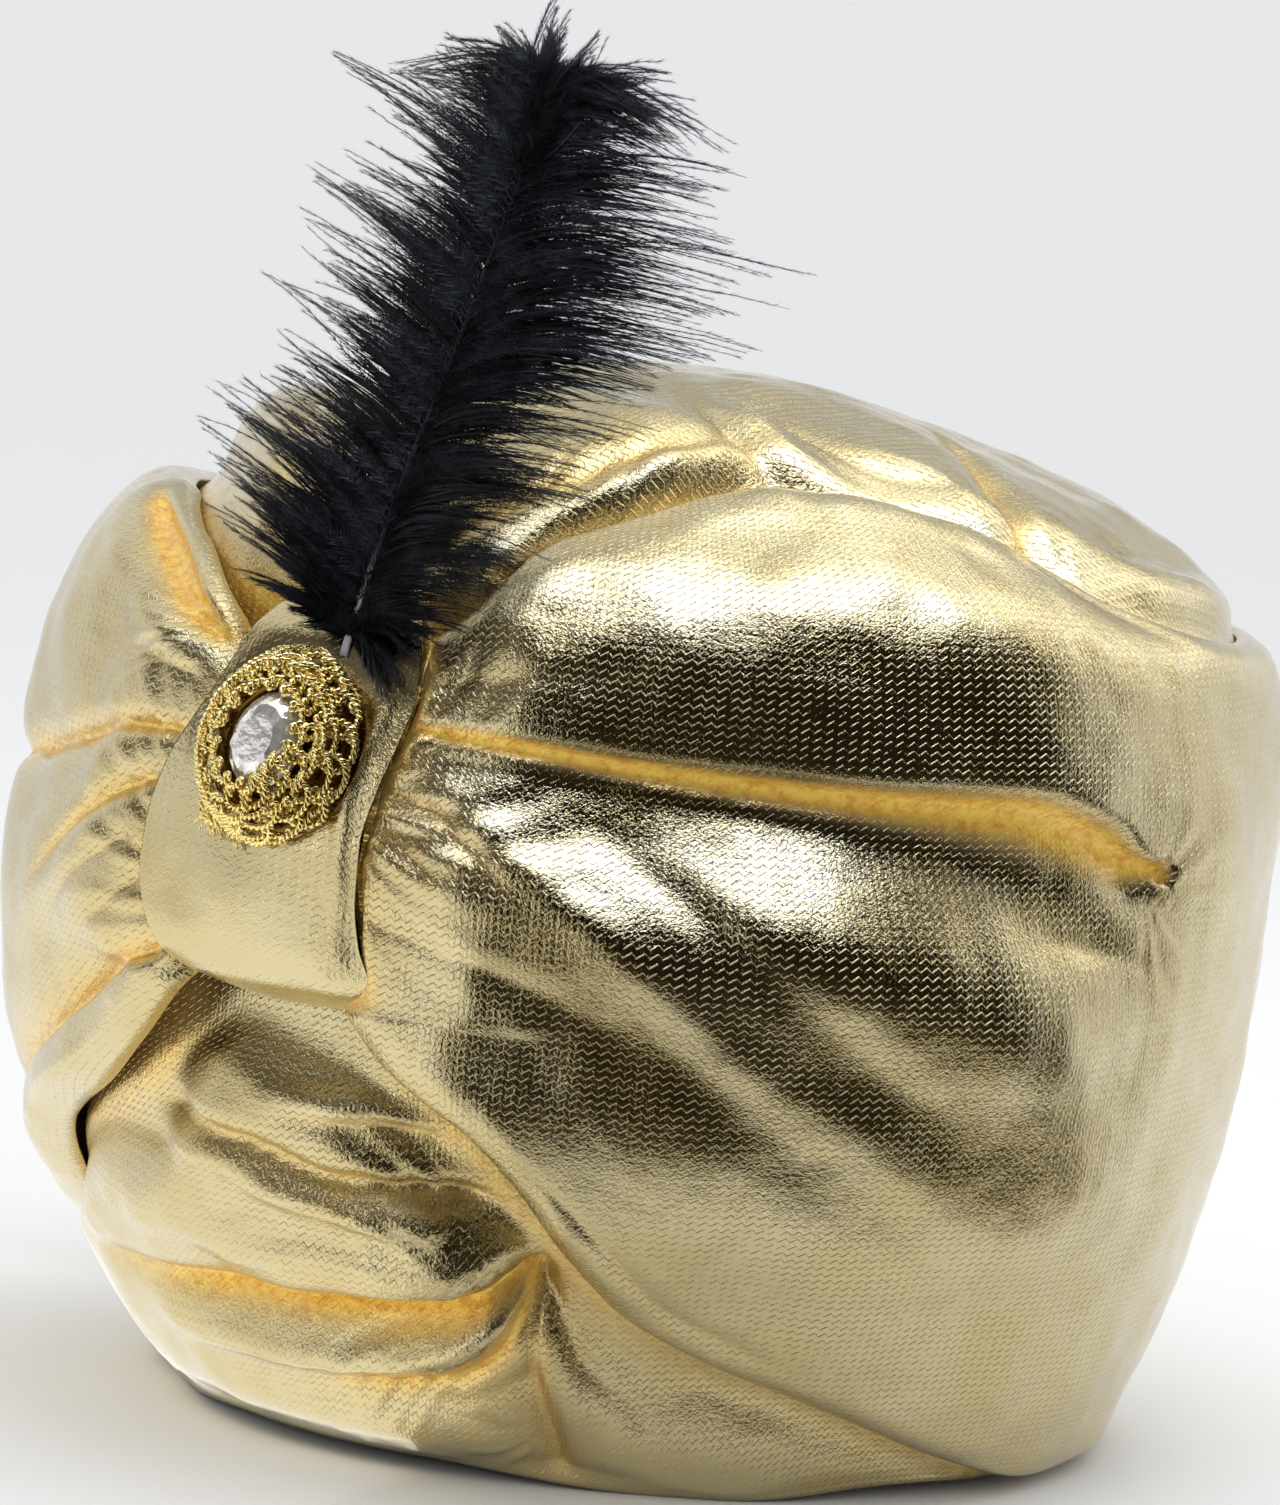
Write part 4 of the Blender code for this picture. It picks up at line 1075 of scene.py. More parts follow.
CROWN_FOLDS: tuple[Fold, ...] = (
    Fold(((39.0, 289.0, -0.4, 6.0), (48.0, 270.0, -1.8, 5.5), (60.0, 247.0, -3.0, 5.5),
          (78.0, 233.0, -1.6, 6.0)), FoldForm.SOFT),
    Fold(((34.0, 284.0, 0.6, 2.2), (44.0, 262.0, 2.0, 2.2), (56.0, 243.0, 2.4, 2.2),
          (72.0, 230.0, 0.8, 3.0)), FoldForm.CREASE, 0.0, 0.15),
    Fold(((56.0, 278.0, 0.4, 1.8), (64.0, 262.0, 1.4, 1.8), (74.0, 248.0, 1.4, 2.0),
          (86.0, 240.0, 0.3, 3.0)), FoldForm.CREASE, 0.0, 0.1),
    Fold(((114.0, 268.0, 0.6, 3.0), (98.0, 250.0, 3.2, 3.2), (88.0, 231.0, 4.4, 3.2),
          (86.0, 214.0, 4.4, 3.0), (88.0, 202.0, 3.0, 2.6)), FoldForm.CREASE, 0.0, 0.6),
    Fold(((88.0, 210.0, -1.0, 6.0), (104.0, 207.5, -2.6, 6.5), (126.0, 197.0, -0.8, 7.0)),
          FoldForm.SOFT),
    Fold(((96.0, 222.0, 0.4, 4.0), (110.0, 216.0, 1.4, 4.5), (128.0, 208.0, 0.3, 5.0)),
          FoldForm.CREASE, 0.0, 0.1),
    Fold(((-26.0, 214.0, -1.0, 10.0), (-50.0, 229.0, -2.6, 11.0), (-90.0, 233.0, -0.8, 12.0)),
          FoldForm.SOFT),
    Fold(((9.0, 200.0, 2.8, 3.0), (16.0, 216.0, 3.0, 3.2), (28.0, 238.0, 2.2, 4.0),
          (60.0, 263.0, 0.3, 6.0)), FoldForm.CREASE, 0.0, 0.6),
    Fold(((-8.0, 199.0, 2.4, 3.0), (-20.0, 224.0, 2.4, 3.6), (-40.0, 244.0, 1.6, 5.0),
          (-78.0, 265.0, 0.2, 7.0)), FoldForm.CREASE, 0.0, 0.4),
    Fold(((32.0, 236.0, -1.2, 9.0), (26.0, 256.0, -2.2, 11.0), (2.0, 288.0, -0.6, 12.0)),
          FoldForm.SOFT),
    Fold(((0.0, 205.0, -1.6, 5.0), (0.0, 235.0, -2.0, 9.0), (-10.0, 270.0, -0.4, 12.0)),
          FoldForm.SOFT),
    Fold(((-130.0, 214.0, 0.4, 5.0), (-142.0, 240.0, 1.6, 7.0), (-170.0, 270.0, 0.3, 9.0)),
          FoldForm.SOFT, 0.0, 0.0),
    Fold(((150.0, 206.0, 0.4, 5.0), (146.0, 236.0, 1.8, 7.0), (168.0, 268.0, 0.3, 9.0)),
          FoldForm.SOFT, 0.0, 0.0),
)
CROWN_GATHERS: tuple[Gather, ...] = (
    Gather(5.0, 186.0, 68.0, 120.0, 13.0, 1.0, 16.0, 66.0, 41),
    Gather(87.0, 203.0, 100.0, 120.0, 6.0, 0.5, 7.0, 26.0, 42),
)


@dataclass
class Crown:
    """Domed crown that shows above the wings."""

    name: str = "crown_cloth"
    wall: float = 2.6
    sectors: int = 360
    foot: float = 122.0
    fine_from: float = 168.0
    row_step: float = 1.45
    hidden_dip: float = 11.0
    front_dip: float = 1.6
    front_edge_dip: float = 10.3
    side_edge_dip: float = 5.8
    valley_turn: float = 36.0
    valley_half: float = 21.0
    valley_above: float = 3.0
    valley_wide: float = 4.2
    valley_dip: float = 2.6
    bank_above: float = 13.0
    bank_wide: float = 4.6
    bank_rise: float = 3.4
    rise_over: float = 24.0

    def open_above(self, turn: np.ndarray, up: np.ndarray) -> np.ndarray:
        """Distance above the upper edge of whatever wraps over the crown."""
        left = smooth_through(TOP_LEFT, 1, np.maximum(turn, 16.0))
        right = smooth_through(TOP_RIGHT, 1, np.minimum(turn, -16.0))
        share = np.clip((turn + 16.0) / 32.0, 0.0, 1.0)
        between = left * share + right * (1.0 - share)
        top = np.where(turn > 16.0, left, np.where(turn < -16.0, right, between))
        return (up - np.maximum(top, 191.0 - 0.2 * np.abs(turn))) * 0.9

    def surface(self, turn: np.ndarray, up: np.ndarray) -> tuple[np.ndarray, np.ndarray]:
        """Lift and shade of the outer face."""
        shown_by = self.open_above(turn, up)
        side = ease((np.abs(turn) - 66.0) / 22.0)
        dip = self.front_edge_dip + (self.side_edge_dip - self.front_edge_dip) * side
        lift = -dip + (dip - 0.6) * ease((shown_by - 1.0) / self.rise_over)
        lift = lift - (self.hidden_dip - dip) * ease(-shown_by / 10.0)
        front = 1.0 - ease((np.abs(turn) - 8.0) / 8.0)
        lift = lift - self.front_dip * front * (1.0 - ease(shown_by / 8.0))
        beside = np.exp(-(((turn - self.valley_turn) / self.valley_half) ** 2))
        valley = beside * np.exp(-(((shown_by - self.valley_above) / self.valley_wide) ** 2))
        bank = beside * np.exp(-(((shown_by - self.bank_above) / self.bank_wide) ** 2))
        lift = lift - self.valley_dip * valley + self.bank_rise * bank
        more, shade = folded(turn, up, CROWN_FOLDS, CROWN_GATHERS, PADDING)
        # Painted shade: the crown just above the wings' upper edge, most at the front, and the valley
        # there are given shade that the finish paints as an orange glow.
        near = np.exp(-np.maximum(shown_by, 0.0) / 3.6)
        amber = 1.0 - ease((np.abs(turn - 8.0) - 42.0) / 30.0)
        shade = np.maximum(shade, near * (0.1 + 0.9 * amber) + 0.9 * valley)
        fade = ease((shown_by - 1.0) / 9.0) * ease((SKIN.pole_up - up) / 14.0)
        return lift + fade * more, shade

    def build(self, cloth: bpy.types.Material, back: bpy.types.Material) -> bpy.types.Object:
        """Makes the crown and seats it."""
        turns = -180.0 + 360.0 * np.arange(self.sectors) / self.sectors
        ups = np.concatenate([
            np.arange(self.foot, self.fine_from, 4.0),
            np.arange(self.fine_from, SKIN.pole_up - 2.5, self.row_step),
        ])
        turn, up = np.meshgrid(turns, ups)
        lift, shade = self.surface(turn, up)
        radius = SKIN.pole_up - up
        angle = np.radians(turn)
        weave = np.stack([radius * np.sin(angle), -radius * np.cos(angle)], -1)
        shell = ClothShell(turn, up, lift, shade, self.wall, closed=True, bulge=0.2, weave=weave)
        piece = shell.build(pole=True).object(self.name, (cloth, back))
        return seat(piece, ("crown",))


BAND_FOLDS: tuple[Fold, ...] = (
    Fold(((3.0, 87.5, -1.0, 3.4), (12.0, 88.5, -3.0, 3.8), (20.0, 86.5, -3.8, 3.8),
          (29.0, 83.5, -2.4, 3.6)), FoldForm.SOFT),
    Fold(((6.0, 84.5, 0.8, 2.0), (13.0, 84.5, 2.2, 2.2), (21.0, 82.5, 3.4, 2.2),
          (30.0, 79.0, 2.8, 2.4)), FoldForm.CREASE, 0.0, 0.35),
    Fold(((-28.0, 81.0, 0.1, 2.6), (-15.0, 81.0, 1.8, 2.7), (0.0, 79.0, 4.4, 2.7),
          (10.0, 74.0, 5.0, 2.7), (21.0, 72.0, 4.8, 2.5), (31.0, 70.0, 3.4, 2.5)),
          FoldForm.CREASE, 0.45, 0.3),
    Fold(((-15.0, 76.0, -0.2, 3.2), (-3.0, 74.0, -2.0, 3.2), (8.0, 68.5, -3.0, 3.2),
          (20.0, 66.5, -2.6, 3.0)), FoldForm.SOFT),
    Fold(((-28.0, 61.0, -0.2, 7.5), (-10.0, 58.0, -3.0, 7.2), (5.0, 54.5, -5.4, 6.4),
          (18.0, 56.0, -5.2, 5.2), (27.0, 60.0, -3.8, 4.0)), FoldForm.SOFT),
    Fold(((-40.0, 42.0, 0.1, 3.0), (-24.0, 41.8, 1.8, 2.8), (-8.0, 43.0, 4.0, 2.6),
          (8.0, 44.5, 4.8, 2.6), (20.0, 48.0, 4.6, 2.5), (29.5, 54.0, 4.0, 2.4)),
          FoldForm.CREASE, 0.3, 0.5),
    Fold(((-36.0, 41.5, 0.1, 3.0), (-18.0, 41.0, 1.8, 3.6), (0.0, 42.0, 4.0, 4.2),
          (12.0, 44.0, 4.2, 4.2), (22.0, 48.0, 3.4, 3.6), (28.5, 53.0, 2.0, 2.6)),
          FoldForm.SOFT, 0.0, 1.15),
    Fold(((-20.0, 33.0, -0.6, 3.4), (-4.0, 31.5, -3.4, 3.4), (10.0, 33.5, -4.4, 3.2),
          (20.0, 39.0, -4.2, 3.0), (27.5, 48.0, -2.0, 2.4)), FoldForm.SOFT),
    Fold(((3.0, 25.0, 0.3, 2.4), (12.0, 25.5, 3.0, 3.0), (20.0, 29.0, 4.6, 3.0),
          (26.0, 38.0, 4.2, 2.4), (29.2, 51.0, 3.0, 2.0)), FoldForm.CREASE, 0.0, 0.95),
    Fold(((30.6, 60.0, 2.6, 2.2), (30.0, 52.0, 5.4, 3.0), (29.2, 42.0, 5.0, 2.8),
          (29.4, 30.0, 4.8, 2.8), (31.0, 17.0, 4.2, 3.0), (32.5, 4.0, 3.4, 3.4)),
          FoldForm.CREASE, 0.0, 0.35),
    Fold(((30.8, 47.0, 3.0, 1.8), (34.0, 35.0, 2.2, 2.4), (39.5, 25.0, 1.4, 3.2),
          (44.0, 16.0, 0.1, 4.0)), FoldForm.CREASE, 0.0, 0.15),
    Fold(((31.5, 55.0, 2.8, 1.8), (36.0, 49.0, 2.0, 2.4), (41.0, 43.0, 1.6, 3.0),
          (48.0, 35.0, 0.1, 4.0)), FoldForm.CREASE, 0.0, 0.15),
    Fold(((41.0, 14.0, -1.6, 9.0), (55.0, 13.0, -2.6, 10.0), (74.0, 6.0, -0.8, 9.0)),
          FoldForm.SOFT),
    Fold(((-22.0, 16.0, -1.0, 8.0), (2.0, 15.0, -2.8, 9.0), (22.0, 15.0, -1.6, 8.0)),
          FoldForm.SOFT),
    Fold(((-30.0, 72.0, 0.2, 3.0), (-18.0, 72.5, 1.2, 3.2), (-6.0, 71.0, 0.8, 3.4),
          (4.0, 68.0, 0.1, 3.0)), FoldForm.CREASE, 0.0, 0.2),
    Fold(((-26.0, 52.0, 0.1, 4.0), (-10.0, 52.5, 1.0, 4.0), (8.0, 53.5, 1.4, 3.6),
          (26.0, 58.0, 1.6, 3.0)), FoldForm.CREASE, 0.0, 0.25),
    Fold(((-12.0, 22.0, 0.1, 4.0), (4.0, 21.5, 1.0, 4.0), (18.0, 23.0, 1.6, 3.4),
          (28.0, 30.0, 1.8, 2.8)), FoldForm.CREASE, 0.0, 0.3),
)
BAND_GATHERS: tuple[Gather, ...] = (
    Gather(30.0, 52.0, 176.0, 96.0, 10.0, 1.1, 7.0, 50.0, 51),
    Gather(30.5, 48.0, -40.0, 110.0, 8.0, 0.7, 7.0, 30.0, 52),
    Gather(31.0, 18.0, 180.0, 150.0, 5.0, 0.35, 7.0, 26.0, 53),
)


@dataclass
class HeadBand:
    """Gathered cloth under the knot, down to the rim and on round the head under the wings."""

    name: str = "head_band_cloth"
    wall: float = 2.4
    row_step: float = 1.25
    top: float = 121.5
    near_step: float = 0.58
    far_step: float = 2.5
    cover_dip: float = 10.3
    hidden_dip: float = 11.0
    front_dip: float = 1.6
    rise_over: float = 22.0
    aside_from: float = 12.0
    aside_over: float = 34.0
    aside_cover: float = 2.8
    aside_start: float = 4.5
    aside_steeper: float = 13.0
    aside_tuck: float = 3.3
    rim_rise: float = 3.0
    rim_rise_turn: float = -2.0
    rim_rise_half: float = 14.0
    sink: float = 0.36

    def soft_hem(self, turn: np.ndarray) -> np.ndarray:
        """Lower edge of whatever wraps over the band, eased downwards round its corners."""
        turns = np.arange(-180.0, 180.0, 0.5)
        left = smooth_through(HEM_LEFT, 1, np.maximum(turns, 14.0))
        right = smooth_through(HEM_RIGHT, 1, np.minimum(turns, -6.0))
        share = np.clip((turns + 6.0) / 20.0, 0.0, 1.0)
        between = left * share + right * (1.0 - share)
        hem = np.where(turns > 14.0, left, np.where(turns < -6.0, right, between))
        low = np.min([np.roll(hem, k) for k in range(-6, 7)], axis=0)
        soft = np.mean([np.roll(low, k) for k in range(-9, 10)], axis=0)
        return np.interp(turn, turns, soft)

    def open_below(self, turn: np.ndarray, up: np.ndarray) -> np.ndarray:
        """Distance below the lower edge of whatever wraps over the band."""
        return (self.soft_hem(turn) - up) * 0.8

    def surface(self, turn: np.ndarray, up: np.ndarray) -> tuple[np.ndarray, np.ndarray]:
        """Lift and shade of the outer face."""
        shown_by = self.open_below(turn, up)
        aside = ease((-turn - self.aside_from) / self.aside_over)
        cover = self.cover_dip - self.aside_cover * aside
        climb = shown_by - 2.5 + self.aside_start * aside
        climb = ease(climb / (self.rise_over - self.aside_steeper * aside))
        lift = -cover + (cover - 0.6) * climb
        lift = lift - self.aside_tuck * aside * ease((-shown_by - 1.0) / 8.0)
        lift = lift - (self.hidden_dip - self.cover_dip) * ease(-shown_by / 10.0)
        front = 1.0 - ease((np.abs(turn) - 8.0) / 8.0)
        lift = lift - self.front_dip * front * (1.0 - ease(shown_by / 8.0))
        more, shade = folded(turn, up, BAND_FOLDS, BAND_GATHERS, PADDING)
        lift = lift + ease((shown_by - 1.0) / 9.0) * ease(up / 5.0) * more
        # Painted shade: the band just below the wings' hem, away from the knot, is given shade that the
        # finish paints orange.
        near = 0.55 * np.exp(-np.maximum(shown_by, 0.0) / 4.0) * ease((np.abs(turn - 4.0) - 8.0) / 8.0)
        return lift, np.maximum(shade, near)

    def build(self, cloth: bpy.types.Material, back: bpy.types.Material) -> bpy.types.Object:
        """Makes the band and seats it."""
        turns = np.concatenate([
            np.arange(-180.0, -84.0, self.far_step),
            np.arange(-84.0, 84.0, self.near_step),
            np.arange(84.0, 179.0, self.far_step),
        ])
        ups = np.arange(0.0, self.top + 0.5 * self.row_step, self.row_step)
        ups = ups * self.top / ups[-1]
        turn, up = np.meshgrid(turns, ups)
        lift, shade = self.surface(turn, up)
        shell = ClothShell(turn, up, lift, shade, self.wall, closed=True, bulge=0.3, floor=0.0)
        piece = self.settle(shell.build(), turns)
        return seat(piece.object(self.name, (cloth, back)), ("head_band",))

    def settle(self, patch: Patch, turns: np.ndarray) -> Patch:
        """Flattens the rim where it rests, a little off the floor at the front."""
        for chunk in patch.points:
            if len(chunk) != len(turns):
                continue
            off = np.abs(turns - self.rim_rise_turn) - self.rim_rise_half
            floor = self.rim_rise * (1.0 - ease(off / 34.0))
            height = chunk[:, 2] - self.sink
            chunk[:, 2] = np.maximum(height + floor * (1.0 - ease(height / 12.0)), floor)
        return patch


# Knot band: up, turn of one edge, turn of the other edge, lift.
KNOT_ROWS: tuple[Row, ...] = (
    (108.5, 1.0, 11.5, -5.0), (110.0, -2.0, 13.2, -2.4), (112.5, -5.6, 13.9, 1.2),
    (116.0, -8.0, 13.7, 3.6), (122.0, -9.6, 12.8, 4.8), (131.0, -10.6, 12.2, 5.2),
    (141.0, -10.4, 12.2, 5.4), (152.0, -9.0, 13.2, 5.4), (161.0, -6.8, 14.4, 5.2),
    (170.0, -4.8, 15.2, 4.8), (178.0, -3.6, 14.8, 3.6), (184.0, -2.8, 13.6, 0.6),
    (189.0, -2.2, 12.4, -4.0),
)
KNOT_FOLDS: tuple[Fold, ...] = (
    Fold(((-6.0, 128.0, 0.25, 2.5), (-3.0, 150.0, 0.5, 3.0), (-1.0, 172.0, 0.3, 3.0)),
          FoldForm.SOFT, 0.0, 0.0),
    Fold(((11.0, 120.0, -0.2, 1.8), (10.4, 146.0, -0.6, 1.8), (13.0, 170.0, -0.4, 1.8)),
          FoldForm.SOFT),
    Fold(((2.0, 118.0, -0.3, 6.0), (1.0, 130.0, -0.8, 8.0), (2.0, 142.0, -0.3, 7.0)),
          FoldForm.SOFT),
)


KNOT_CAMBER = 1.2
KNOT_CORNER_DIP = 1.1


def knot_lift(turn: Any, up: Any) -> np.ndarray:
    """Lift of the plain form of the knot band's outer face."""
    left, right = smooth_through(KNOT_ROWS, 1, up), smooth_through(KNOT_ROWS, 2, up)
    across = (turn - left) / (right - left) * 2.0 - 1.0
    settled = ease((across - 0.45) / 0.55) * ease((142.0 - up) / 18.0)
    level = smooth_through(KNOT_ROWS, 3, up)
    return level - KNOT_CAMBER * across ** 2 - KNOT_CORNER_DIP * settled


@dataclass
class Knot:
    """Smooth band that wraps the wings together at the front."""

    name: str = "knot_cloth"
    wall: float = 1.8
    columns: int = 56
    rows: int = 92

    def build(self, cloth: bpy.types.Material, back: bpy.types.Material) -> bpy.types.Object:
        """Makes the knot band and seats it."""
        ups = np.linspace(KNOT_ROWS[0][0], KNOT_ROWS[-1][0], self.rows)
        share = 0.5 - 0.5 * np.cos(np.pi * np.linspace(0.0, 1.0, self.columns))
        share = 0.6 * share + 0.4 * np.linspace(0.0, 1.0, self.columns)
        left, right = smooth_through(KNOT_ROWS, 1, ups), smooth_through(KNOT_ROWS, 2, ups)
        turn = left[:, None] + (right - left)[:, None] * share[None, :]
        up = np.broadcast_to(ups[:, None], turn.shape).copy()
        waves = (Undulation(19.0, 0.16, 61), Undulation(8.0, 0.04, 62))
        more, shade = folded(turn, up, KNOT_FOLDS, (), waves)
        edge = 1.0 - np.abs(share * 2.0 - 1.0) ** 6
        lift = knot_lift(turn, up) + more * edge[None, :]
        shell = ClothShell(turn, up, lift, shade, self.wall, inner_every=4, bulge=0.4)
        piece = shell.build().object(self.name, (cloth, back))
        return seat(piece, ("knot_band",))


@dataclass
class Brooch:
    """Oval frame of gimp with its cut stone."""

    turn: float = 4.2
    up: float = 157.5
    tilt: float = 17.0
    tall: float = 1.17
    cord: float = 0.50
    ply_gap: float = 0.42
    ply_pitch: float = 2.4
    # Dome and base of the frame: radius, lift above the knot band.
    dome: tuple[Row, ...] = (
        (3.0, 12.9), (5.0, 12.2), (6.6, 11.2), (8.0, 9.8), (9.4, 8.8), (11.0, 8.2), (12.6, 7.0),
        (14.2, 5.2), (15.6, 3.2), (17.0, 1.4), (20.5, 0.9),
    )
    base: tuple[Row, ...] = (
        (8.2, 0.6), (8.4, 5.4), (9.6, 6.4), (11.4, 6.0), (13.2, 4.2), (14.6, 2.0), (15.2, 0.6),
    )
    # Rings of the stone's corners: half width, half height, lift, shift in corners.
    stone_rings: tuple[Row, ...] = (
        (3.0, 3.8, 0.6, 0.0), (7.3, 9.6, 5.8, 0.5), (7.7, 9.9, 7.4, 0.5), (6.7, 8.7, 9.2, 0.0),
        (5.3, 7.0, 10.6, 0.5), (3.7, 5.0, 11.5, 0.0),
    )
    stone_sides: int = 16

    def turned(self, across: Any, along: Any) -> tuple[np.ndarray, np.ndarray]:
        """Place in the brooch's own frame, turned by its tilt."""
        tilt = math.radians(self.tilt)
        across, along = np.asarray(across, float), np.asarray(along, float)
        level = across * math.cos(tilt) + along * math.sin(tilt)
        return level, along * math.cos(tilt) - across * math.sin(tilt)

    def place(self, across: Any, along: Any, lift: Any) -> np.ndarray:
        """Place on the brooch, a lift above the knot band."""
        across, along = self.turned(across, along)
        turn = self.turn + across / TURN_MM
        up = self.up + along
        return SKIN.lifted(turn, up, knot_lift(np.clip(turn, -8.0, 12.5), up) + lift)

    def on_dome(self, radius: Any, angle: Any, more: Any) -> np.ndarray:
        """Place on the domed frame: radius across in mm, angle round it, lift above the dome."""
        lift = smooth_through(self.dome, 1, radius) + more
        return self.place(radius * np.cos(angle), self.tall * np.asarray(radius) * np.sin(angle), lift)

    def cord_round(self, patch: Patch, path: np.ndarray, thickness: float, sides: int = 6) -> None:
        """Adds a two-ply twisted cord along a path."""
        heading = unit(np.gradient(path, axis=0))
        middle = self.place(0.0, 0.0, 0.0)
        outward = np.broadcast_to(SKIN.normal(self.turn, self.up), path.shape)
        outward = unit(outward + 0.01 * (path - middle))
        side = unit(np.cross(heading, outward))
        lift = np.cross(side, heading)
        steps = np.linalg.norm(np.diff(path, axis=0), axis=1)
        length = np.concatenate([[0.0], np.cumsum(steps)])
        twist = 2.0 * np.pi * length / self.ply_pitch
        ring = 2.0 * np.pi * np.arange(sides) / sides
        for ply in range(2):
            turn = twist + math.pi * ply
            away = side * np.cos(turn)[:, None] + lift * np.sin(turn)[:, None]
            line = path + self.ply_gap * thickness * away
            wall = (
                side[:, None, :] * np.cos(ring)[None, :, None]
                + lift[:, None, :] * np.sin(ring)[None, :, None]
            )
            start = patch.add(line[:, None, :] + self.cord * thickness * wall)
            for k in range(len(path) - 1):
                for j in range(sides):
                    a, b = start + k * sides + j, start + k * sides + (j + 1) % sides
                    patch.faces.append((a, b, b + sides, a + sides))
            patch.faces.append(tuple(start + j for j in range(sides))[::-1])
            patch.faces.append(tuple(start + (len(path) - 1) * sides + j for j in range(sides)))

    def scrolls(
        self, middle: float, reach: float, wide: float, count: int, lift: float, seed: int,
    ) -> np.ndarray:
        """Path of a row of overlapping scroll loops round the oval.

        Args:
            middle: Radius of the row.
            reach: Half of a loop's size across the row.
            wide: Half of a loop's size along the row.
            count: Number of loops.
            lift: Height above the dome.
            seed: Seed of the row's unevenness.

        Returns:
            Places along the cord.
        """
        draw = np.random.default_rng(seed)
        t = np.linspace(0.0, 1.0, count * 40)
        knots = np.linspace(0.0, 1.0, count + 1)
        spin = 2.0 * np.pi * count * t
        uneven = np.interp(t, knots, draw.uniform(0.75, 1.18, count + 1))
        drift = np.interp(t, knots, draw.uniform(-0.6, 0.6, count + 1))
        slip = np.interp(t, knots, draw.uniform(-0.06, 0.06, count + 1))
        radius = middle + drift + reach * uneven * np.cos(spin)
        angle = 2.0 * np.pi * t + slip + draw.uniform(0.0, 6.0) + wide * uneven * np.sin(spin) / middle
        over = np.exp(-((np.angle(np.exp(1j * (angle + 0.5))) / 1.15) ** 2))
        radius = radius - self.overlap(middle) * over
        return self.on_dome(radius, angle, lift + 0.55 * np.sin(spin + 0.7))

    def overlap(self, middle: float) -> float:
        """How far a row of loops slips inwards over the stone at the lower right."""
        return 3.0 * float(ease((13.6 - middle) / 4.0))

    def braid(self, material: bpy.types.Material) -> bpy.types.Object:
        """Makes the gimp frame and seats it."""
        patch = Patch()
        segments = 72
        angle = 2.0 * np.pi * np.arange(segments) / segments
        starts = []
        # The ring under the cords carries shade 1, which the cord's finish paints as dark shadow between
        # the cords.
        for radius, height in self.base:
            across, along = radius * np.cos(angle), self.tall * radius * np.sin(angle)
            ring = self.place(across, along, np.full(segments, height))
            starts.append(patch.add(ring, None, np.ones(segments)))
        for lower, upper in zip(starts, starts[1:] + starts[:1]):
            for k in range(segments):
                following = (k + 1) % segments
                patch.faces.append((lower + k, upper + k, upper + following, lower + following))
        # Rows of loops: middle, reach, wide, count, lift, seed, thickness.
        rows = (
            (13.9, 1.9, 2.5, 16, 0.3, 71, 1.0),
            (10.6, 1.8, 2.2, 14, 0.9, 72, 1.0),
            (12.4, 1.5, 2.2, 13, 1.6, 75, 0.9),
            (8.9, 0.8, 1.5, 15, 0.7, 73, 0.85),
            (12.2, 0.5, 1.2, 17, 2.1, 74, 0.8),
            (15.0, 0.5, 1.3, 19, 0.5, 76, 0.8),
        )
        for middle, reach, wide, count, lift, seed, thickness in rows:
            self.cord_round(patch, self.scrolls(middle, reach, wide, count, lift, seed), thickness)
        self.end_overlap(patch)
        piece = patch.object("brooch_gimp", (material,))
        return seat(piece, ("brooch_braid",))

    def end_overlap(self, patch: Patch) -> None:
        """Adds the overlapping end of the gimp at the lower left, with its frayed threads."""
        draw = np.random.default_rng(77)
        for number in range(9):
            t = np.linspace(0.0, 1.0, 60)
            spin = 2.0 * np.pi * draw.uniform(1.1, 1.4) * t + draw.uniform(0.0, 6.0)
            size = draw.uniform(1.3, 2.2)
            across = -8.6 + 1.15 * number + size * np.cos(spin) + 0.8 * t
            along = -15.8 - 1.6 * math.sin(number * 1.1) + size * 1.1 * np.sin(spin)
            lift = 3.4 + 0.9 * number / 9.0 + 0.6 * np.sin(spin)
            self.cord_round(patch, self.place(across, along, lift), 0.95)
        for number in range(26):
            t = np.linspace(0.0, 1.0, 10)
            lean = draw.uniform(-0.7, 0.7)
            across = -4.6 + draw.uniform(-5.0, 5.0) + 3.0 * lean * t
            along = -17.5 - draw.uniform(1.6, 4.4) * t
            self.cord_round(patch, self.place(across, along, 1.6 + 1.6 * t * (1.0 - t)), 0.34, 4)

    def stone(self, material: bpy.types.Material) -> bpy.types.Object:
        """Makes the cut stone and seats it."""
        rings, sides = self.stone_rings, self.stone_sides
        middle = self.place(0.0, 0.0, 0.0)
        outward = SKIN.normal(self.turn, self.up)
        level = unit(np.cross((0.0, 0.0, 1.0), outward))
        upright = np.cross(outward, level)
        side_part, rise_part = self.turned(1.0, 0.0), self.turned(0.0, 1.0)
        side = level * side_part[0] + upright * side_part[1]
        rise = level * rise_part[0] + upright * rise_part[1]
        draw = np.random.default_rng(81)
        patch = Patch()
        corners = []
        for half_width, half_height, lift, shift in rings:
            angle = 2.0 * np.pi * (np.arange(sides) + shift) / sides
            across = half_width * np.cos(angle)[:, None] * side
            along = half_height * np.sin(angle)[:, None] * rise
            corners.append(middle + across + along + outward * lift)
        faces: list[list[np.ndarray]] = [list(corners[0][::-1]), list(corners[-1])]
        for row in range(len(rings) - 1):
            low, high = corners[row], corners[row + 1]
            for k in range(sides):
                n = (k + 1) % sides
                if rings[row][3] == rings[row + 1][3]:
                    faces.append([low[k], low[n], high[n], high[k]])
                elif rings[row][3] > rings[row + 1][3]:
                    faces += [[low[k], low[n], high[n]], [low[k], high[n], high[k]]]
                else:
                    faces += [[low[k], low[n], high[k]], [low[n], high[n], high[k]]]
        # One random value per face, which the stone's finish paints as a lighter or darker reflection.
        for face in faces:
            start = patch.add(np.array(face), None, np.full(len(face), draw.uniform(0.0, 1.0)))
            patch.faces.append(tuple(range(start, start + len(face))))
        piece = patch.object("brooch_gem", (material,), smooth=False)
        return seat(piece, ("brooch_stone",))


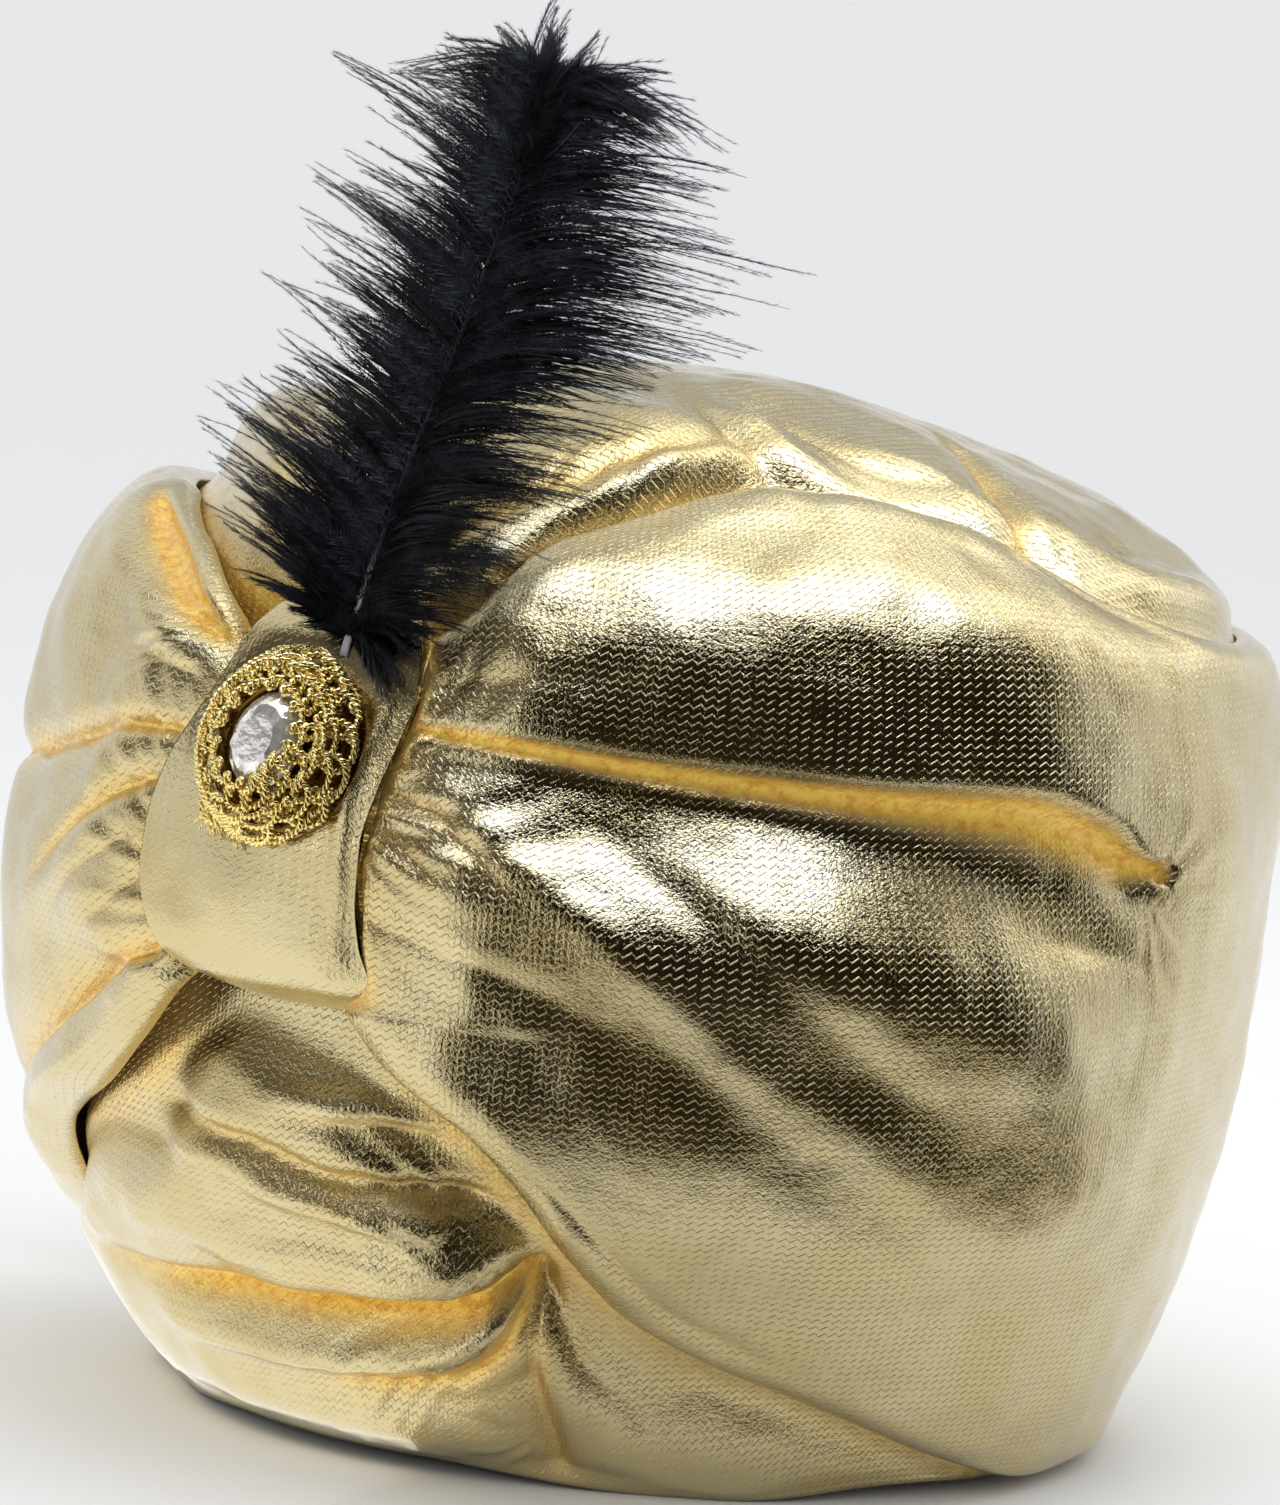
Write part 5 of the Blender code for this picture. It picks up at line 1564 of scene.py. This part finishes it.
@dataclass
class Plume:
    """Ostrich feather: quill, and barbs with their barbules in pointed locks."""

    foot: Row = (15.7, -128.8, 166.8)
    yaw: float = 22.0
    lean: float = 20.0
    quill_wide: float = 0.85
    quill_fine: float = 0.3
    barb_radius: float = 0.17
    fill_half: float = 0.27
    fill_behind: float = 0.8
    barbule_half: float = 0.11
    # Quill: along, across.
    quill: tuple[Row, ...] = (
        (-3.0, 0.9), (1.6, 1.4), (9.6, 2.4), (18.0, 4.0), (38.0, 7.8), (56.0, 12.0),
        (76.0, 15.8), (95.0, 19.8), (113.0, 22.6),
    )
    # Outlines of the two sides: across, along.
    left_tips: tuple[Row, ...] = (
        (-7.0, 5.0), (-13.0, 10.0), (-20.5, 16.0), (-27.5, 26.0), (-33.5, 38.0), (-33.0, 49.0),
        (-34.0, 61.0), (-29.0, 75.0), (-28.0, 91.0), (-21.0, 104.0), (-11.0, 117.0), (4.0, 126.0),
        (15.0, 128.5), (24.0, 128.0),
    )
    right_tips: tuple[Row, ...] = (
        (9.0, -7.0), (17.0, -4.0), (26.0, 3.0), (34.0, 13.0), (40.0, 26.0), (49.0, 41.0),
        (60.0, 56.0), (70.0, 67.0), (74.0, 80.0), (71.0, 93.0), (62.0, 106.0), (44.0, 119.0),
        (28.0, 125.0), (17.0, 127.0),
    )
    locks: int = 62
    barbs: int = 600
    fill_barbs: int = 1300
    barb_points: int = 9
    barbules: int = 250

    def axes(self) -> tuple[np.ndarray, np.ndarray, np.ndarray, np.ndarray]:
        """Foot, side direction, upward direction and facing direction of the plume."""
        yaw, lean = math.radians(self.yaw), math.radians(self.lean)
        side = np.array([math.cos(yaw), math.sin(yaw), 0.0])
        facing = unit(np.cross(side, np.array([0.0, math.sin(lean), math.cos(lean)])))
        return np.array(self.foot), side, np.cross(facing, side), facing

    def place(self, flat: np.ndarray) -> np.ndarray:
        """Places in space from across, along and forward in the plume's plane."""
        foot, side, rise, facing = self.axes()
        return foot + flat[..., :1] * side + flat[..., 1:2] * rise + flat[..., 2:3] * facing

    def quill_across(self, along: Any) -> np.ndarray:
        """How far across the quill is at a height."""
        return smooth_through(self.quill, 1, along)

    def tip(self, tips: tuple[Row, ...], share: np.ndarray) -> np.ndarray:
        """Tip of a lock at a share along the outline of one side."""
        rows = [(k / (len(tips) - 1.0),) + place for k, place in enumerate(tips)]
        return np.stack([smooth_through(rows, 1, share), smooth_through(rows, 2, share)], -1)

    def barb_lines(self, side: float, tips: tuple[Row, ...], rise: float, seed: int, count: int,
                   full: float) -> np.ndarray:
        """Centrelines of the barbs of one side.

        Args:
            side: -1 for the wearer's right, 1 for the left.
            tips: Outline of that side.
            rise: How far a barb climbs for each mm outwards.
            seed: Seed of the draw.
            count: Number of barbs.
            full: Share of the way to the outline that a long barb reaches.

        Returns:
            An array by barb and point, with across, along and forward.
        """
        draw = np.random.default_rng(seed)
        share = draw.uniform(0.0, 1.0, count)
        share = np.sort(np.where(draw.uniform(size=count) < 0.16, 1.0 - 0.25 * share, share))
        centres = np.sort((np.arange(self.locks) + draw.uniform(0.15, 0.85, self.locks)) / self.locks)
        lock = np.argmin(np.abs(share[:, None] - centres[None, :]), axis=1)
        lock_long = draw.uniform(0.70, 1.10, self.locks)[lock]
        lock_turn = draw.normal(0.0, 3.4, (self.locks, 2))[lock]
        lock_out = draw.normal(0.0, 2.6, self.locks)[lock]
        pull = draw.uniform(0.25, 1.0, count)[:, None]
        own, shared = self.tip(tips, share), self.tip(tips, centres[lock])
        tip = own + (shared - own) * pull + lock_turn
        root_along = tip[:, 1] - rise * np.abs(tip[:, 0] - self.quill_across(tip[:, 1]))
        spread = (share - centres[lock]) * self.locks
        root_along = root_along + spread + draw.normal(0.0, 2.6, count)
        high = 94.0 + 18.5 * draw.uniform(size=count) ** 0.8
        root_along = np.clip(np.where(root_along > 94.0, high, root_along), 1.0, 112.5)
        root = np.stack([self.quill_across(root_along), root_along], -1)
        long = full * np.clip(lock_long * draw.uniform(0.35, 1.06, count) ** 0.5, 0.35, 1.08)[:, None]
        tip = root + (tip - root) * long
        reach = np.linalg.norm(tip - root, axis=1)
        splay = 0.62 - 0.35 * ease((root_along - 92.0) / 20.0)
        first = np.stack([splay * side, np.sqrt(1.0 - splay ** 2)], -1)
        middle = root + first * (0.42 * reach)[:, None] + draw.normal(0.0, 0.8, (count, 2))
        t = np.linspace(0.0, 1.0, self.barb_points)[None, :, None]
        flat = root[:, None] * (1.0 - t) ** 2 + middle[:, None] * 2.0 * t * (1.0 - t)
        flat = flat + tip[:, None] * t * t
        rooted = root_along / 113.0
        back = 7.0 * ease((rooted - 0.2) / 0.4)
        forward = 6.0 * (1.0 - ease(rooted / 0.25))
        t = t[..., 0]
        out = (forward - back)[:, None] * t ** 2 + (draw.normal(0.0, 1.5, count) + lock_out)[:, None] * t
        out = out + draw.normal(0.0, 0.35, count)[:, None]
        wiggle = draw.normal(0.0, 0.5, (count, 1)) * np.sin(t * draw.uniform(4.0, 9.0, (count, 1)))
        flat[..., 1] += wiggle * t
        return np.concatenate([flat, out[..., None]], -1)

    def vane(self, name: str, side: float, tips: tuple[Row, ...], rise: float, seed: int,
             material: bpy.types.Material) -> bpy.types.Object:
        """Makes one side of the plume."""
        draw = np.random.default_rng(seed + 100)
        flat = self.barb_lines(side, tips, rise, seed, self.barbs, 1.0)
        line = self.place(flat)
        facing = self.axes()[3]
        heading = unit(np.gradient(line, axis=1))
        across = unit(np.cross(heading, facing))
        lift = np.cross(across, heading)
        count, points = line.shape[:2]
        t = np.linspace(0.0, 1.0, points)
        taper = self.barb_radius * (1.0 - t) ** 0.7 + 0.04
        radius = taper[None, :] * draw.uniform(0.75, 1.2, (count, 1))
        ring = 2.0 * np.pi * np.arange(3) / 3.0
        tube = line[:, :, None, :] + radius[..., None, None] * (
            across[:, :, None, :] * np.cos(ring)[:, None] + lift[:, :, None, :] * np.sin(ring)[:, None]
        )
        patch = Patch()
        patch.add(tube)
        barb, k, j = np.meshgrid(np.arange(count), np.arange(points - 1), np.arange(3), indexing="ij")
        a = (barb * points + k) * 3 + j
        b = (barb * points + k) * 3 + (j + 1) % 3
        patch.faces += list(map(tuple, np.stack([a, b, b + 3, a + 3], -1).reshape(-1, 4).tolist()))
        self.add_barbules(patch, line, heading, across, lift, draw)
        self.add_fill(patch, self.barb_lines(side, tips, rise, seed + 10, self.fill_barbs, 0.66))
        piece = patch.object(name, (material,))
        return seat(piece, ("plume",))

    def add_fill(self, patch: Patch, flat: np.ndarray) -> None:
        """Adds flat tapered barbs behind the others, which close the middle of the vane."""
        flat[..., 2] -= self.fill_behind
        line = self.place(flat)
        heading = unit(np.gradient(line, axis=1))
        beside = unit(np.cross(heading, self.axes()[3]))
        count, points = line.shape[:2]
        half = self.fill_half * (1.0 - np.linspace(0.0, 1.0, points) ** 2) + 0.02
        edges = np.stack([line - beside * half[None, :, None], line + beside * half[None, :, None]], 2)
        start = patch.add(edges)
        barb, k = np.meshgrid(np.arange(count), np.arange(points - 1), indexing="ij")
        a = start + (barb * points + k) * 2
        patch.faces += list(map(tuple, np.stack([a, a + 1, a + 3, a + 2], -1).reshape(-1, 4).tolist()))

    def add_barbules(self, patch: Patch, line: np.ndarray, heading: np.ndarray, across: np.ndarray,
                     lift: np.ndarray, draw: np.random.Generator) -> None:
        """Adds the fine side hairs of the barbs, one slim triangle each."""
        count, points = line.shape[:2]
        place = draw.uniform(0.03, 0.99, (count, self.barbules)) * (points - 1)
        k = np.minimum(place.astype(int), points - 2)
        part = (place - k)[..., None]
        barb = np.arange(count)[:, None]
        root = line[barb, k] * (1.0 - part) + line[barb, k + 1] * part
        ahead, beside, above = heading[barb, k], across[barb, k], lift[barb, k]
        hand = np.where(draw.uniform(size=place.shape) < 0.5, -1.0, 1.0)[..., None]
        folded_in = ease((place / (points - 1) - 0.30) / 0.45)
        open_by = np.radians(draw.uniform(22.0, 60.0, place.shape) * (1.0 - 0.66 * folded_in))[..., None]
        tilt = draw.normal(0.0, 0.6, place.shape)[..., None]
        out = unit(ahead * np.cos(open_by) + (beside * hand + above * tilt) * np.sin(open_by))
        share = (place / (points - 1))[..., None]
        length = draw.uniform(2.0, 4.0, place.shape)[..., None] * (1.0 - 0.5 * share)
        wide = self.barbule_half * ahead
        corners = np.stack([root - wide, root + wide, root + out * length], -2).reshape(-1, 3)
        start = patch.add(corners)
        numbers = start + np.arange(len(corners)).reshape(-1, 3)
        patch.faces += list(map(tuple, numbers.tolist()))

    def quill_piece(self, material: bpy.types.Material) -> bpy.types.Object:
        """Makes the quill and seats it."""
        points, sides = 70, 12
        along = np.linspace(self.quill[0][0], self.quill[-1][0], points)
        flat = np.stack([self.quill_across(along), along, np.zeros(points)], -1)
        line = self.place(flat)
        facing = self.axes()[3]
        heading = unit(np.gradient(line, axis=0))
        across = unit(np.cross(heading, facing))
        lift = np.cross(across, heading)
        t = np.linspace(0.0, 1.0, points)
        radius = self.quill_wide + (self.quill_fine - self.quill_wide) * t ** 0.8
        ring = 2.0 * np.pi * np.arange(sides) / sides
        groove = 1.0 - 0.22 * np.exp(-(((ring - 0.5 * np.pi) / 0.35) ** 2))
        tube = line[:, None, :] + (radius[:, None] * groove[None, :])[..., None] * (
            across[:, None, :] * np.cos(ring)[:, None] + 0.8 * lift[:, None, :] * np.sin(ring)[:, None]
        )
        patch = Patch()
        patch.add(tube, None, np.repeat(t, sides))
        for k in range(points - 1):
            for j in range(sides):
                a, b = k * sides + j, k * sides + (j + 1) % sides
                patch.faces.append((a, b, b + sides, a + sides))
        patch.faces.append(tuple(range(sides))[::-1])
        patch.faces.append(tuple((points - 1) * sides + j for j in range(sides)))
        piece = patch.object("plume_quill", (material,))
        return seat(piece, ("plume",))

    def build(self) -> None:
        """Makes the quill and both sides."""
        barb = PlumeBlack().material()
        self.quill_piece(QuillHorn().material())
        self.vane("plume_barbs_right_side", -1.0, self.left_tips, 0.62, 91, barb)
        self.vane("plume_barbs_left_side", 1.0, self.right_tips, 0.22, 92, barb)


@dataclass
class Studio:
    """Pale floor, soft lights and the camera at the photograph's angle."""

    azimuth: float = 35.0
    elevation: float = 8.0
    roll: float = 5.0
    distance: float = 1500.0
    px_per_mm: float = 4.817
    target: Row = (0.04, 4.33, 98.0)
    shift: Row = (3.7, -188.5)
    world: Row = (0.95, 0.96, 0.98, 1.0)
    world_strength: float = 0.94
    sensor: float = 36.0
    floor_radius: float = 150000.0
    floor_sides: int = 96
    card_centre: float = 110.0

    def camera(self) -> None:
        """Makes the camera."""
        azimuth, elevation, roll = (math.radians(a) for a in (self.azimuth, self.elevation, self.roll))
        back = np.array((
            math.sin(azimuth) * math.cos(elevation),
            -math.cos(azimuth) * math.cos(elevation),
            math.sin(elevation),
        ))
        right = np.array((math.cos(azimuth), math.sin(azimuth), 0.0))
        up = np.cross(back, right)
        u, v = self.shift
        across = u * math.cos(roll) + v * math.sin(roll)
        along = -u * math.sin(roll) + v * math.cos(roll)
        target = np.array(self.target)
        eye = target + back * self.distance
        look = target + right * (across / self.px_per_mm) - up * (along / self.px_per_mm)
        z = unit(eye - look)
        x0 = unit(np.cross(up, z))
        y0 = np.cross(z, x0)
        x = x0 * math.cos(roll) + y0 * math.sin(roll)
        y = -x0 * math.sin(roll) + y0 * math.cos(roll)
        data = bpy.data.cameras.new("camera")
        data.sensor_width = self.sensor
        data.lens = self.sensor * self.px_per_mm * self.distance / IMAGE_LONG_SIDE
        data.clip_start, data.clip_end = 0.05, 400.0
        camera = bpy.data.objects.new("camera", data)
        matrix = Matrix(np.stack([x, y, z], 1).tolist()).to_4x4()
        matrix.translation = Vector((eye * MM).tolist())
        camera.matrix_world = matrix
        bpy.context.scene.collection.objects.link(camera)
        bpy.context.scene.camera = camera

    def lamp(
        self, name: str, azimuth: float, elevation: float, distance: float, size: Row, watts: float,
    ) -> None:
        """Makes one soft light that faces the turban."""
        data = bpy.data.lights.new(name, "AREA")
        data.shape = "RECTANGLE"
        data.size, data.size_y = size
        data.energy = watts
        lamp = bpy.data.objects.new(name, data)
        a, e = math.radians(azimuth), math.radians(elevation)
        back = Vector((math.sin(a) * math.cos(e), -math.cos(a) * math.cos(e), math.sin(e)))
        lamp.location = Vector((0.0, 0.0, 0.11)) + back * distance
        lamp.rotation_euler = back.to_track_quat("Z", "Y").to_euler()
        lamp.visible_camera = False
        bpy.context.scene.collection.objects.link(lamp)

    def card(self, name: str, points: np.ndarray, tone: Row) -> None:
        """Makes a card of a grid of places, which only shows as a reflection."""
        rows, columns = points.shape[:2]
        patch = Patch()
        patch.add(points)
        for row in range(rows - 1):
            for k in range(columns - 1):
                a = row * columns + k
                patch.faces.append((a, a + columns, a + columns + 1, a + 1))
        finish = Finish(name)
        black = (0.0, 0.0, 0.0, 1.0)
        material = finish.dress(
            Base_Color=black, Roughness=1.0, Emission_Color=tone, Emission_Strength=1.0,
            Specular_IOR_Level=0.0,
        )
        self.only_reflected(patch.object(name, (material,)))

    def round_card(self, name: str, turns: Row, rises: Row, radius: float, tone: Row) -> None:
        """Makes a curved card round the turban, between two turns and two heights in degrees."""
        turn, rise = np.radians(np.meshgrid(np.linspace(*turns, 40), np.linspace(*rises, 20)))
        points = [np.sin(turn) * np.cos(rise), -np.cos(turn) * np.cos(rise), np.sin(rise)]
        self.card(name, radius * np.stack(points, -1) + np.array((0.0, 0.0, self.card_centre)), tone)

    def floor_card(self, name: str, turns: Row, reaches: Row, tone: Row) -> None:
        """Makes a flat card by the floor, between two turns and two reaches."""
        turn, reach = np.meshgrid(np.radians(np.linspace(*turns, 30)), np.array(reaches))
        points = [reach * np.sin(turn), -reach * np.cos(turn), np.full(turn.shape, 2.0)]
        self.card(name, np.stack(points, -1), tone)

    def only_reflected(self, card: bpy.types.Object) -> None:
        """Hides a card from everything but reflections."""
        card.visible_camera = False
        card.visible_diffuse = False
        card.visible_shadow = False

    def build(self) -> None:
        """Makes the floor, the lights and the camera."""
        patch = Patch()
        angle = 2.0 * np.pi * np.arange(self.floor_sides) / self.floor_sides
        ring = (self.floor_radius * np.cos(angle), self.floor_radius * np.sin(angle), 0.0 * angle)
        patch.add(np.stack(ring, -1))
        patch.faces.append(tuple(range(self.floor_sides)))
        floor = patch.object("floor", (PaleFloor().material(),), smooth=False)
        world = bpy.data.worlds.new("studio")
        world.use_nodes = True
        background = world.node_tree.nodes["Background"]
        background.inputs["Color"].default_value = self.world
        background.inputs["Strength"].default_value = self.world_strength
        bpy.context.scene.world = world
        bpy.context.scene.view_settings.view_transform = "Standard"
        self.lamp("top_light", 70.0, 78.0, 1.1, (0.60, 0.50), 2.2)
        self.lamp("side_light", 158.0, 34.0, 1.3, (0.30, 0.80), 1.6)
        self.lamp("front_light", -2.0, 17.0, 1.3, (0.26, 0.46), 1.1)
        self.lamp("back_light", 178.0, 56.0, 1.1, (0.40, 0.34), 1.0)
        self.round_card("light_card", (24.0, 116.0), (51.0, 70.0), 640.0, (4.8, 5.4, 7.6, 1.0))
        self.round_card("dark_card", (13.0, 127.0), (-11.0, 49.0), 620.0, (0.016, 0.013, 0.009, 1.0))
        self.floor_card("dark_floor_card", (13.0, 125.0), (215.0, 640.0), (0.045, 0.035, 0.022, 1.0))
        self.floor_card("pale_floor_card", (-96.0, 12.0), (88.0, 600.0), (1.2, 1.2, 1.2, 1.0))
        self.round_card("front_light_card", (-60.0, 12.0), (56.0, 66.0), 640.0, (2.6, 2.9, 4.0, 1.0))
        self.round_card("grey_card", (-64.0, 12.0), (12.0, 54.0), 640.0, (0.13, 0.12, 0.11, 1.0))
        self.round_card("back_card", (172.0, 235.0), (14.0, 52.0), 900.0, (0.52, 0.52, 0.50, 1.0))
        self.camera()


def main() -> None:
    """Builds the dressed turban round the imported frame."""
    logging.basicConfig(level=logging.INFO, format="%(message)s")
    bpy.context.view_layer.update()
    cloth, back = FoilCloth().material(), ClothBack().material()
    Studio().build()
    Crown().build(cloth, back)
    HeadBand().build(cloth, back)
    Wing(
        "wing_left_cloth", "wing_left", 1.0, HEM_LEFT, TOP_LEFT, LEFT_FOLDS, LEFT_GATHERS,
    ).build(cloth, back)
    Wing(
        "wing_right_cloth", "wing_right", -1.0, HEM_RIGHT, TOP_RIGHT, RIGHT_FOLDS, RIGHT_GATHERS,
    ).build(cloth, back)
    Knot().build(FoilCloth("gold_foil_satin", 0.3).material(), back)
    brooch = Brooch()
    brooch.braid(GoldCord().material())
    brooch.stone(FoilStone().material())
    Plume().build()


if __name__ == "__main__":
    main()
